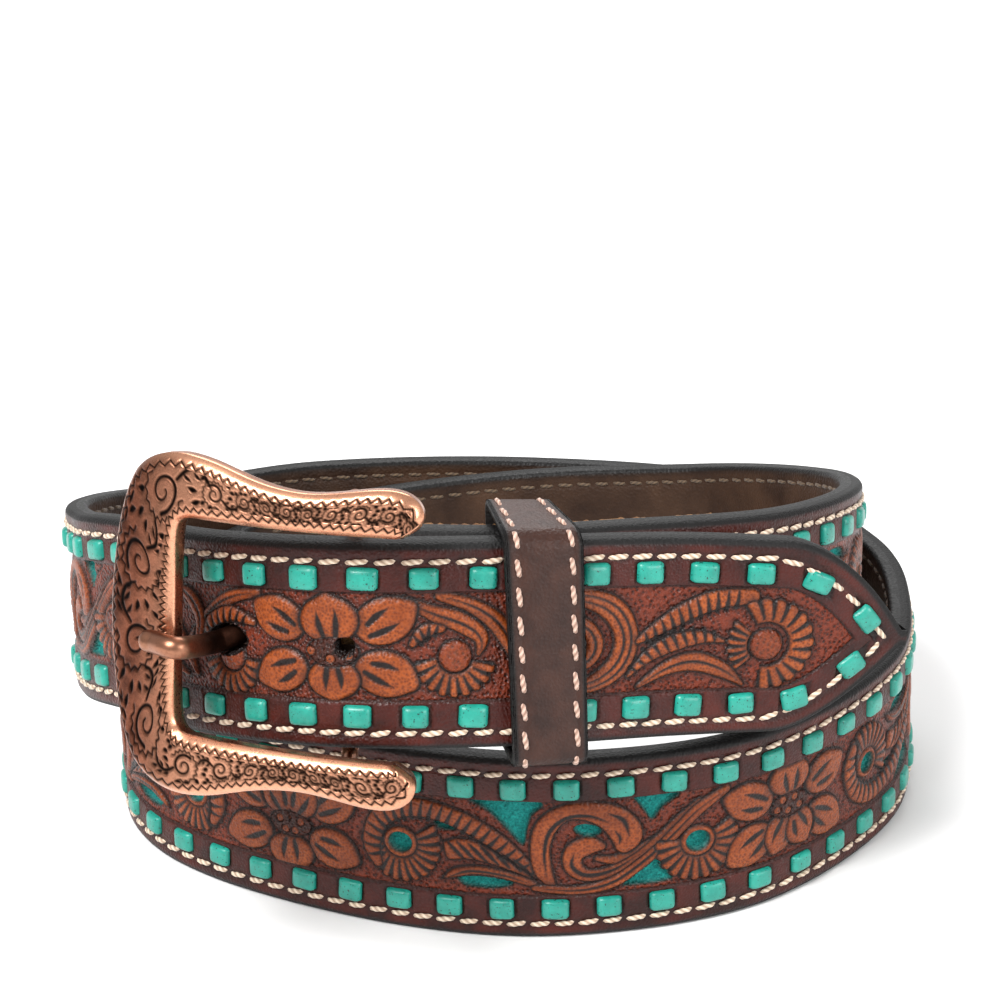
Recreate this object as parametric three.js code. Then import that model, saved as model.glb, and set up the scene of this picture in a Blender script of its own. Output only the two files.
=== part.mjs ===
// A western belt of tooled leather with turquoise lacing, coiled in two turns and fastened, in millimetres.
// Front is -Y and up is +Z. The strap is laid out flat and then bent along the coil.
import * as THREE from "three";
import { mergeVertices } from "three/addons/utils/BufferGeometryUtils.js";

// The strap: a tooled cover, a turquoise suede strip behind its openings, and a lining.
const WIDTH = 38;
const COVER = 2;
const SUEDE = 0.6;
const LINING = 1.6;
const GAP = 0.3;
const EDGE_BEVEL = 0.7;
const PITCH = 10.5; // from one lace square to the next
const TIP_LENGTH = 25;
const FIELD = 10; // half the height of the tooled field

// The lace squares stand on the cover in two rows.
const LACE_ROW = 12.7;
const LACE_WIDTH = 4.2;
const LACE_LENGTH = 5;
const LACE_FLOOR = 0.45; // above the cover, so that the two stay apart in tight bends
const LACE_PROUD = 0.95;
const LACE_VALLEY = 0.2;

// The coil: half its width, and how far the strap's top leans inwards in front.
const COIL = 86;
const LEAN = THREE.MathUtils.degToRad(12);

// The route of the cover's lower edge, seen from above, from the buckle's bar round to the tip.
// side, depth: shares of COIL; rise: share of WIDTH above the table; lean: share of LEAN, outwards.
const ROUTE = [
  { side: -0.31, depth: -0.875, rise: 1.33, lean: -1 },
  { side: -0.03, depth: -0.865, rise: 1.28, lean: -1 },
  { side: 0.24, depth: -0.775, rise: 1.2, lean: -0.9 },
  { side: 0.63, depth: -0.54, rise: 1.02, lean: -0.6 },
  { side: 0.85, depth: -0.16, rise: 0.8, lean: -0.1 },
  { side: 0.85, depth: 0.3, rise: 0.5, lean: 0.25 },
  { side: 0.58, depth: 0.74, rise: 0.18, lean: 0.6 },
  { side: 0.06, depth: 0.92, rise: 0.04, lean: 0.65 },
  { side: -0.48, depth: 0.82, rise: 0, lean: 0.6 },
  { side: -0.84, depth: 0.49, rise: 0, lean: 0.25 },
  { side: -0.97, depth: 0.12, rise: 0, lean: 0 },
  { side: -0.92, depth: -0.21, rise: 0, lean: -0.25 },
  { side: -0.69, depth: -0.47, rise: 0, lean: -0.35 },
  { side: -0.26, depth: -0.7, rise: 0, lean: -0.35 },
  { side: 0.14, depth: -0.77, rise: 0, lean: -0.15 },
  { side: 0.57, depth: -0.66, rise: 0, lean: 0.05 },
  { side: 0.905, depth: -0.325, rise: 0, lean: 0 },
  { side: 1.01, depth: 0.05, rise: 0, lean: 0 },
  { side: 0.96, depth: 0.44, rise: 0, lean: 0.25 },
  { side: 0.67, depth: 0.86, rise: 0, lean: 0.6 },
  { side: 0.07, depth: 1.02, rise: 0.04, lean: 0.65 },
  { side: -0.535, depth: 0.91, rise: 0.16, lean: 0.6 },
  { side: -0.93, depth: 0.535, rise: 0.36, lean: 0.25 },
  { side: -1.06, depth: 0.09, rise: 0.69, lean: 0 },
  { side: -1.01, depth: -0.25, rise: 0.9, lean: -0.35 },
  { side: -0.875, depth: -0.5, rise: 1.08, lean: -0.65 },
  { side: -0.65, depth: -0.77, rise: 1.23, lean: -0.9 },
  { side: -0.35, depth: -0.945, rise: 1.33, lean: -1 },
  { side: 0, depth: -0.935, rise: 1.29, lean: -1 },
  { side: 0.35, depth: -0.815, rise: 1.17, lean: -0.7 },
  { side: 0.63, depth: -0.735, rise: 1.08, lean: -0.1 },
  { side: 0.845, depth: -0.66, rise: 0.99, lean: 0.1 },
];
const FLOWER_SIDE = -0.48; // where the belt's middle flower lies in front, as a share of COIL

// Openings in the cover that show the suede, in one unit counted from a flower, one to a lace pitch.
// shift: share of PITCH; across: share of FIELD, towards the lower edge; long, high: shares of
// PITCH and FIELD; turn: degrees.
const OPENINGS = [
  { cell: 1, shift: 0.1, across: 0.55, long: 0.26, high: 0.2, turn: 30 },
  { cell: 2, shift: 0.1, across: -0.05, long: 0.26, high: 0.26, turn: 0 },
  { cell: 3, shift: 0.1, across: 0.6, long: 0.3, high: 0.22, turn: -20 },
  { cell: 4, shift: 0.1, across: 0.65, long: 0.3, high: 0.2, turn: 20 },
  { cell: 5, shift: 0.1, across: -0.1, long: 0.25, high: 0.3, turn: 15 },
  { cell: 6, shift: 0, across: 0.65, long: 0.32, high: 0.2, turn: 0 },
  { cell: 7, shift: 0, across: -0.65, long: 0.32, high: 0.2, turn: 10 },
  { cell: 8, shift: 0, across: -0.1, long: 0.25, high: 0.26, turn: 0 },
  { cell: 9, shift: -0.1, across: 0.55, long: 0.24, high: 0.2, turn: -30 },
];
const UNIT = 10; // lace pitches from one flower to the next
const PLAIN_END = 10; // lace pitches at each end with no openings

// The prong's hole and the next one, measured back from the tip.
const HOLE_RADIUS = 2.6;
const HOLE_STRETCH = 1.75;
const PRONG_HOLE = 132.5;
const HOLE_SPACING = 25.4;

// The buckle: a horseshoe frame, a bar behind the billet and a prong.
const BUCKLE = { length: 63, height: 64, thick: 4.6, bevel: 1.1 };
const BUCKLE_POSE = { side: -45, depth: -77.6, rise: 72.5, yaw: -24, lean: -11 };
const BUCKLE_CURVE = 95;
const WINDOW = { left: 15.5, height: 40.5 };
const BAR = { radius: 1.6, high: 24.5, reach: 10.6 };
// The prong: its place behind the billet, then its places on the buckle, from the frame's left end.
const PRONG = { radius: 2.1, behind: 14, tip: 11.5, rest: 14.5, crest: 20, low: -2.8 };

const KEEPER = { width: 14, wall: 1.8, slack: 1.8, at: 71.5, overhang: 3, slant: -0.06 };
const CHAPE = { length: 72, thick: 1.4 };

const MATERIALS = {
  tooled: { color: 0x9c4722, roughness: 0.45, metalness: 0 },
  suede: { color: 0x1f8f8a, roughness: 0.95, metalness: 0 },
  lining: { color: 0x3b2a1f, roughness: 0.6, metalness: 0 },
  lace: { color: 0x38c5b0, roughness: 0.35, metalness: 0 },
  keeper: { color: 0x3e2c25, roughness: 0.5, metalness: 0 },
  chape: { color: 0x9a6a3c, roughness: 0.9, metalness: 0 },
  copper: { color: 0xc07a58, roughness: 0.3, metalness: 1 },
};

const THICK = COVER + SUEDE + LINING + 2 * GAP;

// A smooth value between four neighbouring rows.
function blend(p0, p1, p2, p3, t) {
  return 0.5 * (2 * p1 + (p2 - p0) * t + (2 * p0 - 5 * p1 + 4 * p2 - p3) * t * t
    + (3 * p1 - p0 - 3 * p2 + p3) * t ** 3);
}

// The route as a dense list of places with their distance from the start.
function walkRoute() {
  const steps = 24;
  const places = [];
  const row = (i) => ROUTE[THREE.MathUtils.clamp(i, 0, ROUTE.length - 1)];
  for (let i = 0; i < ROUTE.length - 1; i++) {
    const near = [row(i - 1), row(i), row(i + 1), row(i + 2)];
    const last = i === ROUTE.length - 2 ? 1 : 0;
    for (let k = 0; k < steps + last; k++) {
      const value = (column) => blend(...near.map((r) => r[column]), k / steps);
      const at = new THREE.Vector3(value("side") * COIL, value("depth") * COIL,
        Math.max(0, value("rise") * WIDTH));
      const before = places[places.length - 1];
      const along = before ? before.along + at.distanceTo(before.at) : 0;
      places.push({ at, lean: value("lean") * LEAN, along });
    }
  }
  return places;
}
const PLACES = walkRoute();
const LENGTH = PLACES[PLACES.length - 1].along;

// The place at a distance along the strap, read between two listed places.
function placeAt(along) {
  let high = PLACES.findIndex((p) => p.along > along);
  if (high < 0) high = PLACES.length - 1;
  high = Math.max(high, 1);
  const [a, b] = [PLACES[high - 1], PLACES[high]];
  const t = (along - a.along) / (b.along - a.along);
  return { at: a.at.clone().lerp(b.at, t), lean: a.lean + (b.lean - a.lean) * t };
}

// The strap's directions at a distance: along it, level and outwards, and up its face.
function directions(along) {
  const span = 4;
  const ahead = placeAt(Math.min(along + span, LENGTH)).at;
  const tangent = ahead.sub(placeAt(Math.max(along - span, 0)).at).normalize();
  const outward = new THREE.Vector3(tangent.y, -tangent.x, 0).normalize();
  const up = outward.clone().cross(tangent).normalize();
  const { lean } = placeAt(along);
  up.multiplyScalar(Math.cos(lean)).addScaledVector(outward, Math.sin(lean));
  return { tangent, outward, up };
}

// A point of the flat strap in the coil: along, across from the middle, and out from the face.
function bend(along, across, out) {
  const { outward, up } = directions(along);
  return placeAt(along).at.addScaledVector(up, across + WIDTH / 2)
    .addScaledVector(outward, out);
}

// The middle flower's distance along the strap.
const FLOWER_AT = PLACES.filter((p) => p.at.z < 1 && p.at.y < 0)
  .reduce((a, b) => (Math.abs(a.at.x - FLOWER_SIDE * COIL) < Math.abs(b.at.x - FLOWER_SIDE * COIL)
    ? a : b)).along;

// The cuts across the strap: one at each half lace pitch's middle, closer together at the tip.
function stations(from, to, tip) {
  const first = Math.ceil((from + 1 - FLOWER_AT) / PITCH - 0.5) + 0.5;
  const list = [from];
  const end = tip ? to - TIP_LENGTH : to;
  for (let k = first; FLOWER_AT + k * PITCH < end - 1; k++) list.push(FLOWER_AT + k * PITCH);
  for (const back of [PRONG_HOLE, PRONG_HOLE - HOLE_SPACING]) {
    const hole = LENGTH - back;
    const near = list.filter((s) => Math.abs(s - hole) < 2.6 * HOLE_RADIUS);
    near.forEach((s) => list.splice(list.indexOf(s), 1));
    list.push(hole - 2.1 * HOLE_RADIUS, hole + 2.1 * HOLE_RADIUS);
  }
  list.sort((a, b) => a - b);
  if (tip) for (const share of [1, 0.7, 0.42, 0.2, 0.07]) list.push(to - TIP_LENGTH * share);
  list.push(to);
  return list;
}

// Half the strap's width at a distance: it narrows to a point at the billet's tip.
function halfWidth(along, full) {
  const share = THREE.MathUtils.clamp((LENGTH - along) / TIP_LENGTH, 0, 1);
  return full * Math.max(0.08, 1 - (1 - share) ** 1.7);
}

// A closed skin is collected as triangles and welded.
class Skin {
  constructor() {
    this.points = [];
  }
  triangle(a, b, c) {
    for (const p of [a, b, c]) this.points.push(p.x, p.y, p.z);
  }
  quad(a, b, c, d) {
    this.triangle(a, b, c);
    this.triangle(a, c, d);
  }
  geometry() {
    const g = new THREE.BufferGeometry();
    g.setAttribute("position", new THREE.Float32BufferAttribute(this.points, 3));
    const welded = mergeVertices(g, 1e-4);
    welded.computeVertexNormals();
    return welded;
  }
}

// Rings of points joined one to the next and closed at both ends.
function loft(rings) {
  const skin = new Skin();
  for (let i = 0; i < rings.length - 1; i++) {
    const [a, b] = [rings[i], rings[i + 1]];
    a.forEach((p, k) => {
      const n = (k + 1) % a.length;
      skin.quad(p, a[n], b[n], b[k]);
    });
  }
  const [first, last] = [rings[0], rings[rings.length - 1]];
  for (let k = 1; k < first.length - 1; k++) {
    skin.triangle(first[0], first[k + 1], first[k]);
    skin.triangle(last[0], last[k], last[k + 1]);
  }
  return skin.geometry();
}

// One layer of the strap with openings, each inside one cell between two stations.
function layer({ from, to, tip, half, outer, inner, holes, bevel = 0 }) {
  const skin = new Skin();
  const cuts = stations(from, to, tip);
  const lines = cuts.map((s) => {
    const h = tip ? halfWidth(s, half) : half;
    const rim = h - Math.min(2 * bevel, h / 2);
    return bevel ? [-h, -rim, rim, h] : [-h, h];
  });
  const strips = lines[0].length - 1;
  const hole = Math.floor(strips / 2);
  const face = (s, v, h, top) => bend(s, v, top ? outer - (Math.abs(v) === h ? bevel : 0) : inner);
  for (let i = 0; i < cuts.length - 1; i++) {
    const [s0, s1] = [cuts[i], cuts[i + 1]];
    const [a, b] = [lines[i], lines[i + 1]];
    const inside = holes.filter((h) => h.along > s0 && h.along < s1);
    for (const top of [true, false]) {
      const put = (p) => face(p.x, p.y, p.x === s0 ? a[strips] : b[strips], top);
      const turn = (x, y, z) => (top ? skin.triangle(x, y, z) : skin.triangle(x, z, y));
      for (let k = 0; k < strips; k++) {
        const outline = [[s0, a[k]], [s1, b[k]], [s1, b[k + 1]], [s0, a[k + 1]]]
          .map((p) => new THREE.Vector2(...p));
        const cut = k === hole ? inside.map((h) => h.outline) : [];
        const all = [...outline, ...cut.flat()];
        for (const [x, y, z] of THREE.ShapeUtils.triangulateShape(outline, cut)) {
          turn(put(all[x]), put(all[y]), put(all[z]));
        }
      }
    }
    for (const { outline } of inside) {
      outline.forEach((p, k) => {
        const q = outline[(k + 1) % outline.length];
        skin.quad(bend(q.x, q.y, inner), bend(p.x, p.y, inner), bend(p.x, p.y, outer),
          bend(q.x, q.y, outer));
      });
    }
    const [ha, hb] = [a[strips], b[strips]];
    skin.quad(face(s0, -ha, ha, false), face(s1, -hb, hb, false), face(s1, -hb, hb, true),
      face(s0, -ha, ha, true));
    skin.quad(face(s1, hb, hb, false), face(s0, ha, ha, false), face(s0, ha, ha, true),
      face(s1, hb, hb, true));
  }
  for (const [i, reverse] of [[0, false], [cuts.length - 1, true]]) {
    const row = lines[i];
    for (let k = 0; k < strips; k++) {
      const low = (v) => face(cuts[i], v, row[strips], false);
      const high = (v) => face(cuts[i], v, row[strips], true);
      const q = [low(row[k]), high(row[k]), high(row[k + 1]), low(row[k + 1])];
      skin.quad(...(reverse ? q.reverse() : q));
    }
  }
  return skin.geometry();
}

// A many-sided opening round a centre, as seen from outside.
function ring(along, across, long, high, turn, sides) {
  const middle = new THREE.Vector2(along, across);
  return Array.from({ length: sides }, (_, k) => {
    const angle = (k / sides) * 2 * Math.PI;
    return new THREE.Vector2(along + long * Math.cos(angle), across + high * Math.sin(angle))
      .rotateAround(middle, THREE.MathUtils.degToRad(turn));
  });
}

// The openings of both halves: each unit is turned over against the one before it.
function suedeOpenings() {
  const list = [];
  for (const direction of [1, -1]) {
    for (let unit = 0; unit < 5; unit++) {
      for (const o of OPENINGS) {
        const along = FLOWER_AT + direction * (unit * UNIT + o.cell + o.shift) * PITCH;
        if (along < PLAIN_END * PITCH || along > LENGTH - (PLAIN_END + 7) * PITCH) continue;
        const over = unit % 2 ? 1 : -1;
        list.push({ along, outline: ring(along, over * o.across * FIELD, o.long * PITCH,
          o.high * FIELD, direction * over * o.turn, 6) });
      }
    }
  }
  return list;
}

// The billet's holes: the one in use is pulled long by the prong.
function roundHoles(radius) {
  return [PRONG_HOLE, PRONG_HOLE - HOLE_SPACING].map((back, i) => {
    const along = LENGTH - back;
    const long = i ? radius : radius * HOLE_STRETCH;
    return { along, outline: ring(along, 0, long, radius, 0, 10) };
  });
}

function strapCover() {
  return layer({ from: 0, to: LENGTH, tip: true, half: WIDTH / 2, outer: 0, inner: -COVER,
    holes: [...suedeOpenings(), ...roundHoles(HOLE_RADIUS)], bevel: EDGE_BEVEL });
}

function suedeInlay() {
  const outer = -COVER - GAP;
  return layer({ from: 0.4, to: LENGTH - 0.6, tip: true, half: WIDTH / 2 - 0.6, outer,
    inner: outer - SUEDE, holes: roundHoles(HOLE_RADIUS) });
}

function strapLining() {
  const outer = -COVER - SUEDE - 2 * GAP;
  return layer({ from: 0, to: LENGTH, tip: true, half: WIDTH / 2, outer, inner: -THICK,
    holes: roundHoles(HOLE_RADIUS) });
}

// One row of lace: a raised square at each lace pitch, joined by thin valleys.
function laceRow(side) {
  const rings = [];
  const section = (along, width, top) => {
    const v = side * Math.min(LACE_ROW, halfWidth(along, WIDTH / 2) - 6.3);
    return [[-1, LACE_FLOOR], [1, LACE_FLOOR], [1, top], [-1, top]]
      .map(([s, w]) => bend(along, v + (s * width) / 2, w));
  };
  const first = Math.ceil((LACE_LENGTH - FLOWER_AT) / PITCH);
  const last = Math.floor((LENGTH - 0.35 * TIP_LENGTH - FLOWER_AT) / PITCH);
  for (let k = first; k <= last; k++) {
    const middle = FLOWER_AT + k * PITCH;
    rings.push(section(middle - LACE_LENGTH / 2, LACE_WIDTH, LACE_PROUD));
    rings.push(section(middle + LACE_LENGTH / 2, LACE_WIDTH, LACE_PROUD));
    if (k < last) rings.push(section(middle + PITCH / 2, LACE_WIDTH * 0.5, LACE_FLOOR + LACE_VALLEY));
  }
  return loft(rings);
}

// The folded end: it lies inside the strap, turns round the buckle's bar and meets the strap's end.
const FOLD = BAR.radius + GAP + CHAPE.thick / 2;
const BAR_PLACE = { along: -FOLD, out: -THICK - GAP - CHAPE.thick / 2 + FOLD };
function chapeFold() {
  const line = [];
  const legs = 7;
  for (let k = 0; k <= legs; k++) {
    line.push([CHAPE.length * (1 - k / legs), BAR_PLACE.out - FOLD]);
  }
  const turns = 8;
  for (let k = 1; k <= turns; k++) {
    const angle = Math.PI * (1.5 - k / turns);
    line.push([BAR_PLACE.along + FOLD * Math.cos(angle), BAR_PLACE.out + FOLD * Math.sin(angle)]);
  }
  line.push([-GAP, BAR_PLACE.out + FOLD]);
  const rings = line.map(([s, w], i) => {
    const [a, b] = [line[Math.max(i - 1, 0)], line[Math.min(i + 1, line.length - 1)]];
    const [ds, dw] = [b[0] - a[0], b[1] - a[1]];
    const size = Math.hypot(ds, dw);
    const [ns, nw] = [(-dw / size) * CHAPE.thick / 2, (ds / size) * CHAPE.thick / 2];
    const half = WIDTH / 2 - 0.8;
    return [[-1, -half], [-1, half], [1, half], [1, -half]]
      .map(([k, v]) => bendFree(s + k * ns, v, w + k * nw));
  });
  return loft(rings);
}

// As bend, also a little beyond the strap's start, straight on.
function bendFree(along, across, out) {
  if (along >= 0) return bend(along, across, out);
  const { tangent } = directions(0);
  return bend(0, across, out).addScaledVector(tangent, along);
}

// The keeper: a leather loop round the billet and the strap behind it.
function keeper() {
  const billetAt = LENGTH - KEEPER.at;
  const front = placeAt(billetAt).at;
  const behind = PLACES.filter((p) => p.along < 120)
    .reduce((a, b) => (a.at.distanceTo(front) < b.at.distanceTo(front) ? a : b)).along;
  const depth = bend(billetAt, 0, 0).distanceTo(bend(behind, 0, -THICK)) + CHAPE.thick + KEEPER.slack;
  const high = WIDTH / 2 + KEEPER.overhang;
  const outer = { front: LACE_PROUD + 2 * GAP + KEEPER.wall, back: -depth - GAP - KEEPER.wall };
  const corner = 2.4;
  const frame = (grow) => {
    const [f, b, h] = [outer.front - grow, outer.back + grow, high - grow];
    const c = Math.max(corner - grow, 0.5);
    return [[f, c - h], [f - c, -h], [b + c, -h], [b, c - h], [b, h - c], [b + c, h], [f - c, h],
      [f, h - c]];
  };
  const skin = new Skin();
  const [out, inn] = [frame(0), frame(KEEPER.wall)];
  const put = (point, end) => bend(
    billetAt + (end * KEEPER.width) / 2 + KEEPER.slant * point[1], point[1], point[0]);
  out.forEach((p, k) => {
    const n = (k + 1) % out.length;
    skin.quad(put(p, -1), put(out[n], -1), put(out[n], 1), put(p, 1));
    skin.quad(put(inn[n], -1), put(inn[k], -1), put(inn[k], 1), put(inn[n], 1));
    skin.quad(put(out[n], -1), put(p, -1), put(inn[k], -1), put(inn[n], -1));
    skin.quad(put(p, 1), put(out[n], 1), put(inn[n], 1), put(inn[k], 1));
  });
  return skin.geometry();
}

// The buckle's frame, in its own plane: x along, y up, z out, bent to the strap's curve.
function buckleFrame() {
  const [l, h] = [BUCKLE.length, BUCKLE.height / 2];
  const x = (share) => (share - 0.5) * l;
  const shape = new THREE.Shape();
  shape.moveTo(x(0), 0);
  // The upper half's outline: each curve's two handles and its end, as shares.
  const curve = [
    [0.005, 0.3, 0.03, 0.68, 0.1, 0.86], [0.15, 0.97, 0.23, 1.01, 0.31, 0.99],
    [0.42, 0.97, 0.48, 0.88, 0.62, 0.86], [0.75, 0.84, 0.86, 0.95, 0.94, 0.9],
    [1.0, 0.86, 1.01, 0.74, 0.97, 0.69],
  ];
  for (const c of curve) {
    shape.bezierCurveTo(x(c[0]), c[1] * h, x(c[2]), c[3] * h, x(c[4]), c[5] * h);
  }
  const inside = WINDOW.height / 2;
  shape.lineTo(x(0.93), inside + 0.4);
  shape.lineTo(x(0) + WINDOW.left + 1, inside);
  shape.lineTo(x(0) + WINDOW.left, inside - 1);
  shape.lineTo(x(0) + WINDOW.left, 1 - inside);
  shape.lineTo(x(0) + WINDOW.left + 1, -inside);
  shape.lineTo(x(0.93), -inside - 0.4);
  shape.lineTo(x(0.97), -0.69 * h);
  for (let i = curve.length - 1; i >= 0; i--) {
    const c = curve[i];
    const end = i ? [curve[i - 1][4], curve[i - 1][5]] : [0, 0];
    shape.bezierCurveTo(x(c[2]), -c[3] * h, x(c[0]), -c[1] * h, x(end[0]), -end[1] * h);
  }
  const geometry = new THREE.ExtrudeGeometry(shape, {
    depth: BUCKLE.thick - 2 * BUCKLE.bevel, curveSegments: 4, bevelEnabled: true,
    bevelThickness: BUCKLE.bevel, bevelSize: BUCKLE.bevel, bevelOffset: -BUCKLE.bevel,
    bevelSegments: 1, steps: 1,
  });
  return weldedBend(geometry);
}

// A point of the buckle's plane, bent round an upright axis behind it.
function curved(x, y, z) {
  const angle = x / BUCKLE_CURVE;
  const radius = BUCKLE_CURVE + z;
  return new THREE.Vector3(radius * Math.sin(angle), y, radius * Math.cos(angle) - BUCKLE_CURVE);
}

function weldedBend(geometry) {
  geometry.deleteAttribute("uv");
  geometry.deleteAttribute("normal");
  const g = mergeVertices(geometry, 1e-4);
  const p = g.attributes.position;
  for (let i = 0; i < p.count; i++) {
    const at = curved(p.getX(i), p.getY(i), p.getZ(i));
    p.setXYZ(i, at.x, at.y, at.z);
  }
  g.computeVertexNormals();
  return g;
}

// A round rod along a line of points, closed at both ends.
function rod(line, radius, sides, count) {
  const curve = new THREE.CatmullRomCurve3(line);
  const frames = curve.computeFrenetFrames(count);
  const rings = Array.from({ length: count + 1 }, (_, i) => {
    const size = radius * (i === 0 || i === count ? 0.8 : 1);
    return Array.from({ length: sides }, (_, k) => {
      const angle = (k / sides) * 2 * Math.PI;
      return curve.getPointAt(i / count)
        .addScaledVector(frames.normals[i], size * Math.cos(angle))
        .addScaledVector(frames.binormals[i], size * Math.sin(angle));
    });
  });
  return loft(rings);
}

// The bar stands in the fold; its ends reach forward to the frame's arms.
function buckleBar() {
  const { high, reach, radius } = BAR;
  const at = (v, out) => bendFree(BAR_PLACE.along, v, BAR_PLACE.out + out);
  const turn = high - radius;
  return rod([at(-high, reach), at(-high, radius), at(-turn, 0), at(1 - turn, 0), at(0, 0),
    at(turn - 1, 0), at(turn, 0), at(high, radius), at(high, reach)], radius, 8, 24);
}

// The prong lies behind the billet, leaves its hole and rests on the frame's left bar.
function prong(toWorld) {
  const hole = LENGTH - PRONG_HOLE;
  const behind = -THICK - GAP - PRONG.radius;
  const rest = BUCKLE.thick - BUCKLE.bevel + GAP + PRONG.radius;
  const on = (x, lift = 0) => curved(x - BUCKLE.length / 2, PRONG.low, rest + lift)
    .applyMatrix4(toWorld);
  return rod([bend(hole + PRONG.behind, 0, behind - 1.2), bend(hole + 5, 0, behind - 1.2),
    bend(hole + 1.8, 0, behind + 1), bend(hole, 0, -THICK / 2), bend(hole - 1.6, 0, 2),
    on(PRONG.crest, 0.5), on(PRONG.rest, 0.2), on(PRONG.tip)], PRONG.radius, 8, 18);
}

function mesh(name, geometry, material) {
  const m = new THREE.Mesh(geometry, new THREE.MeshStandardMaterial(MATERIALS[material]));
  m.name = name;
  return m;
}

const belt = new THREE.Group();
belt.add(
  mesh("strap_lining", strapLining(), "lining"),
  mesh("suede_inlay", suedeInlay(), "suede"),
  mesh("strap_cover", strapCover(), "tooled"),
  mesh("lace_upper", laceRow(1), "lace"),
  mesh("lace_lower", laceRow(-1), "lace"),
  mesh("chape_fold", chapeFold(), "chape"),
  mesh("keeper", keeper(), "keeper"),
);

const buckle = new THREE.Group();
buckle.add(mesh("buckle_frame", buckleFrame(), "copper"));
buckle.rotation.order = "ZXY";
buckle.rotation.set(Math.PI / 2 + THREE.MathUtils.degToRad(BUCKLE_POSE.lean), 0,
  THREE.MathUtils.degToRad(BUCKLE_POSE.yaw));
buckle.position.set(BUCKLE_POSE.side, BUCKLE_POSE.depth, BUCKLE_POSE.rise);
buckle.updateMatrix();
belt.add(buckle, mesh("buckle_bar", buckleBar(), "copper"),
  mesh("buckle_prong", prong(buckle.matrix), "copper"));

// The part's origin is the middle of its foot.
belt.updateMatrixWorld(true);
const bounds = new THREE.Box3().setFromObject(belt, true);
const foot = bounds.getCenter(new THREE.Vector3()).setZ(bounds.min.z);
belt.position.sub(foot);

export default belt;
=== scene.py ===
import math

import bpy
import numpy as np
from mathutils import Matrix, Vector


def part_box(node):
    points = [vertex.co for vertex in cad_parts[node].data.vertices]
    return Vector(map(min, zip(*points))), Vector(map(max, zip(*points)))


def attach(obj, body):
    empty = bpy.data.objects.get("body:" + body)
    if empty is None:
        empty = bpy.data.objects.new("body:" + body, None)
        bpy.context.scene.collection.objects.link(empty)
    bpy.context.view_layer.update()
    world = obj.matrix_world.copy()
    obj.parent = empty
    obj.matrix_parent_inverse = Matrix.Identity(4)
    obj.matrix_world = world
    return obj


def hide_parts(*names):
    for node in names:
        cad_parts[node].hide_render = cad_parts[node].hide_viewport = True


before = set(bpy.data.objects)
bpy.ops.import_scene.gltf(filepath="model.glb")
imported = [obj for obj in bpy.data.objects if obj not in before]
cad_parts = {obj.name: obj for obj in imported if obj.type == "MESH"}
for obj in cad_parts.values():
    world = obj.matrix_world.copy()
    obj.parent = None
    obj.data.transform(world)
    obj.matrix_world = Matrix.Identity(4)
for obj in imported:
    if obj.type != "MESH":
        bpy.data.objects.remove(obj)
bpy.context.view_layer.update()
MM = 0.001

# The strap and its coil, as in the CAD source.
WIDTH = 38
THICK = 4.8
PITCH = 10.5
TIP_LENGTH = 25
COIL = 86
LEAN = math.radians(12)
FLOWER_SIDE = -0.48
PRONG_HOLE = 132.5
HOLE_SPACING = 25.4
HOLE_RADIUS = 2.6
HOLE_STRETCH = 1.75
HALF = WIDTH / 2

# side, depth: shares of COIL; rise: share of WIDTH; lean: share of LEAN.
ROUTE = np.array([
    (-0.31, -0.875, 1.33, -1), (-0.03, -0.865, 1.28, -1), (0.24, -0.775, 1.2, -0.9),
    (0.63, -0.54, 1.02, -0.6), (0.85, -0.16, 0.8, -0.1), (0.85, 0.3, 0.5, 0.25),
    (0.58, 0.74, 0.18, 0.6), (0.06, 0.92, 0.04, 0.65), (-0.48, 0.82, 0, 0.6),
    (-0.84, 0.49, 0, 0.25), (-0.97, 0.12, 0, 0), (-0.92, -0.21, 0, -0.25),
    (-0.69, -0.47, 0, -0.35), (-0.26, -0.7, 0, -0.35), (0.14, -0.77, 0, -0.15),
    (0.57, -0.66, 0, 0.05), (0.905, -0.325, 0, 0), (1.01, 0.05, 0, 0), (0.96, 0.44, 0, 0.25),
    (0.67, 0.86, 0, 0.6), (0.07, 1.02, 0.04, 0.65), (-0.535, 0.91, 0.16, 0.6),
    (-0.93, 0.535, 0.36, 0.25), (-1.06, 0.09, 0.69, 0), (-1.01, -0.25, 0.9, -0.35),
    (-0.875, -0.5, 1.08, -0.65), (-0.65, -0.77, 1.23, -0.9), (-0.35, -0.945, 1.33, -1),
    (0, -0.935, 1.29, -1), (0.35, -0.815, 1.17, -0.7), (0.63, -0.735, 1.08, -0.1),
    (0.845, -0.66, 0.99, 0.1),
])


def smooth_rows(rows, steps):
    """Rows on a smooth line through the given ones."""
    rows = np.asarray(rows, float)
    n = len(rows)
    parts = []
    for i in range(n - 1):
        a, b, c, d = (rows[min(max(j, 0), n - 1)] for j in (i - 1, i, i + 1, i + 2))
        t = (np.arange(steps + (i == n - 2)) / steps)[:, None]
        parts.append(0.5 * (2 * b + (c - a) * t + (2 * a - 5 * b + 4 * c - d) * t**2
                            + (3 * b - a - 3 * c + d) * t**3))
    return np.vstack(parts)


def run_length(points):
    return np.concatenate([[0], np.cumsum(np.linalg.norm(np.diff(points, axis=0), axis=1))])


def spread(at, known, values):
    """Values read at places between the known ones, one column at a time."""
    return np.stack([np.interp(at, known, column) for column in values.T], axis=-1)


def unit(v):
    return v / np.linalg.norm(v, axis=-1, keepdims=True)


def within(distance, blur):
    """1 where the distance is below 0 and 0 above it, with a soft step."""
    return 1 / (1 + np.exp(distance / blur))


def ridge(off, width):
    """1 on a line and less to both sides of it."""
    return np.exp(-(off / width) ** 2)


def beside(ahead):
    """The directions to the left of flat ones."""
    return np.stack([-ahead[:, 1], ahead[:, 0]], axis=1)


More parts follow.
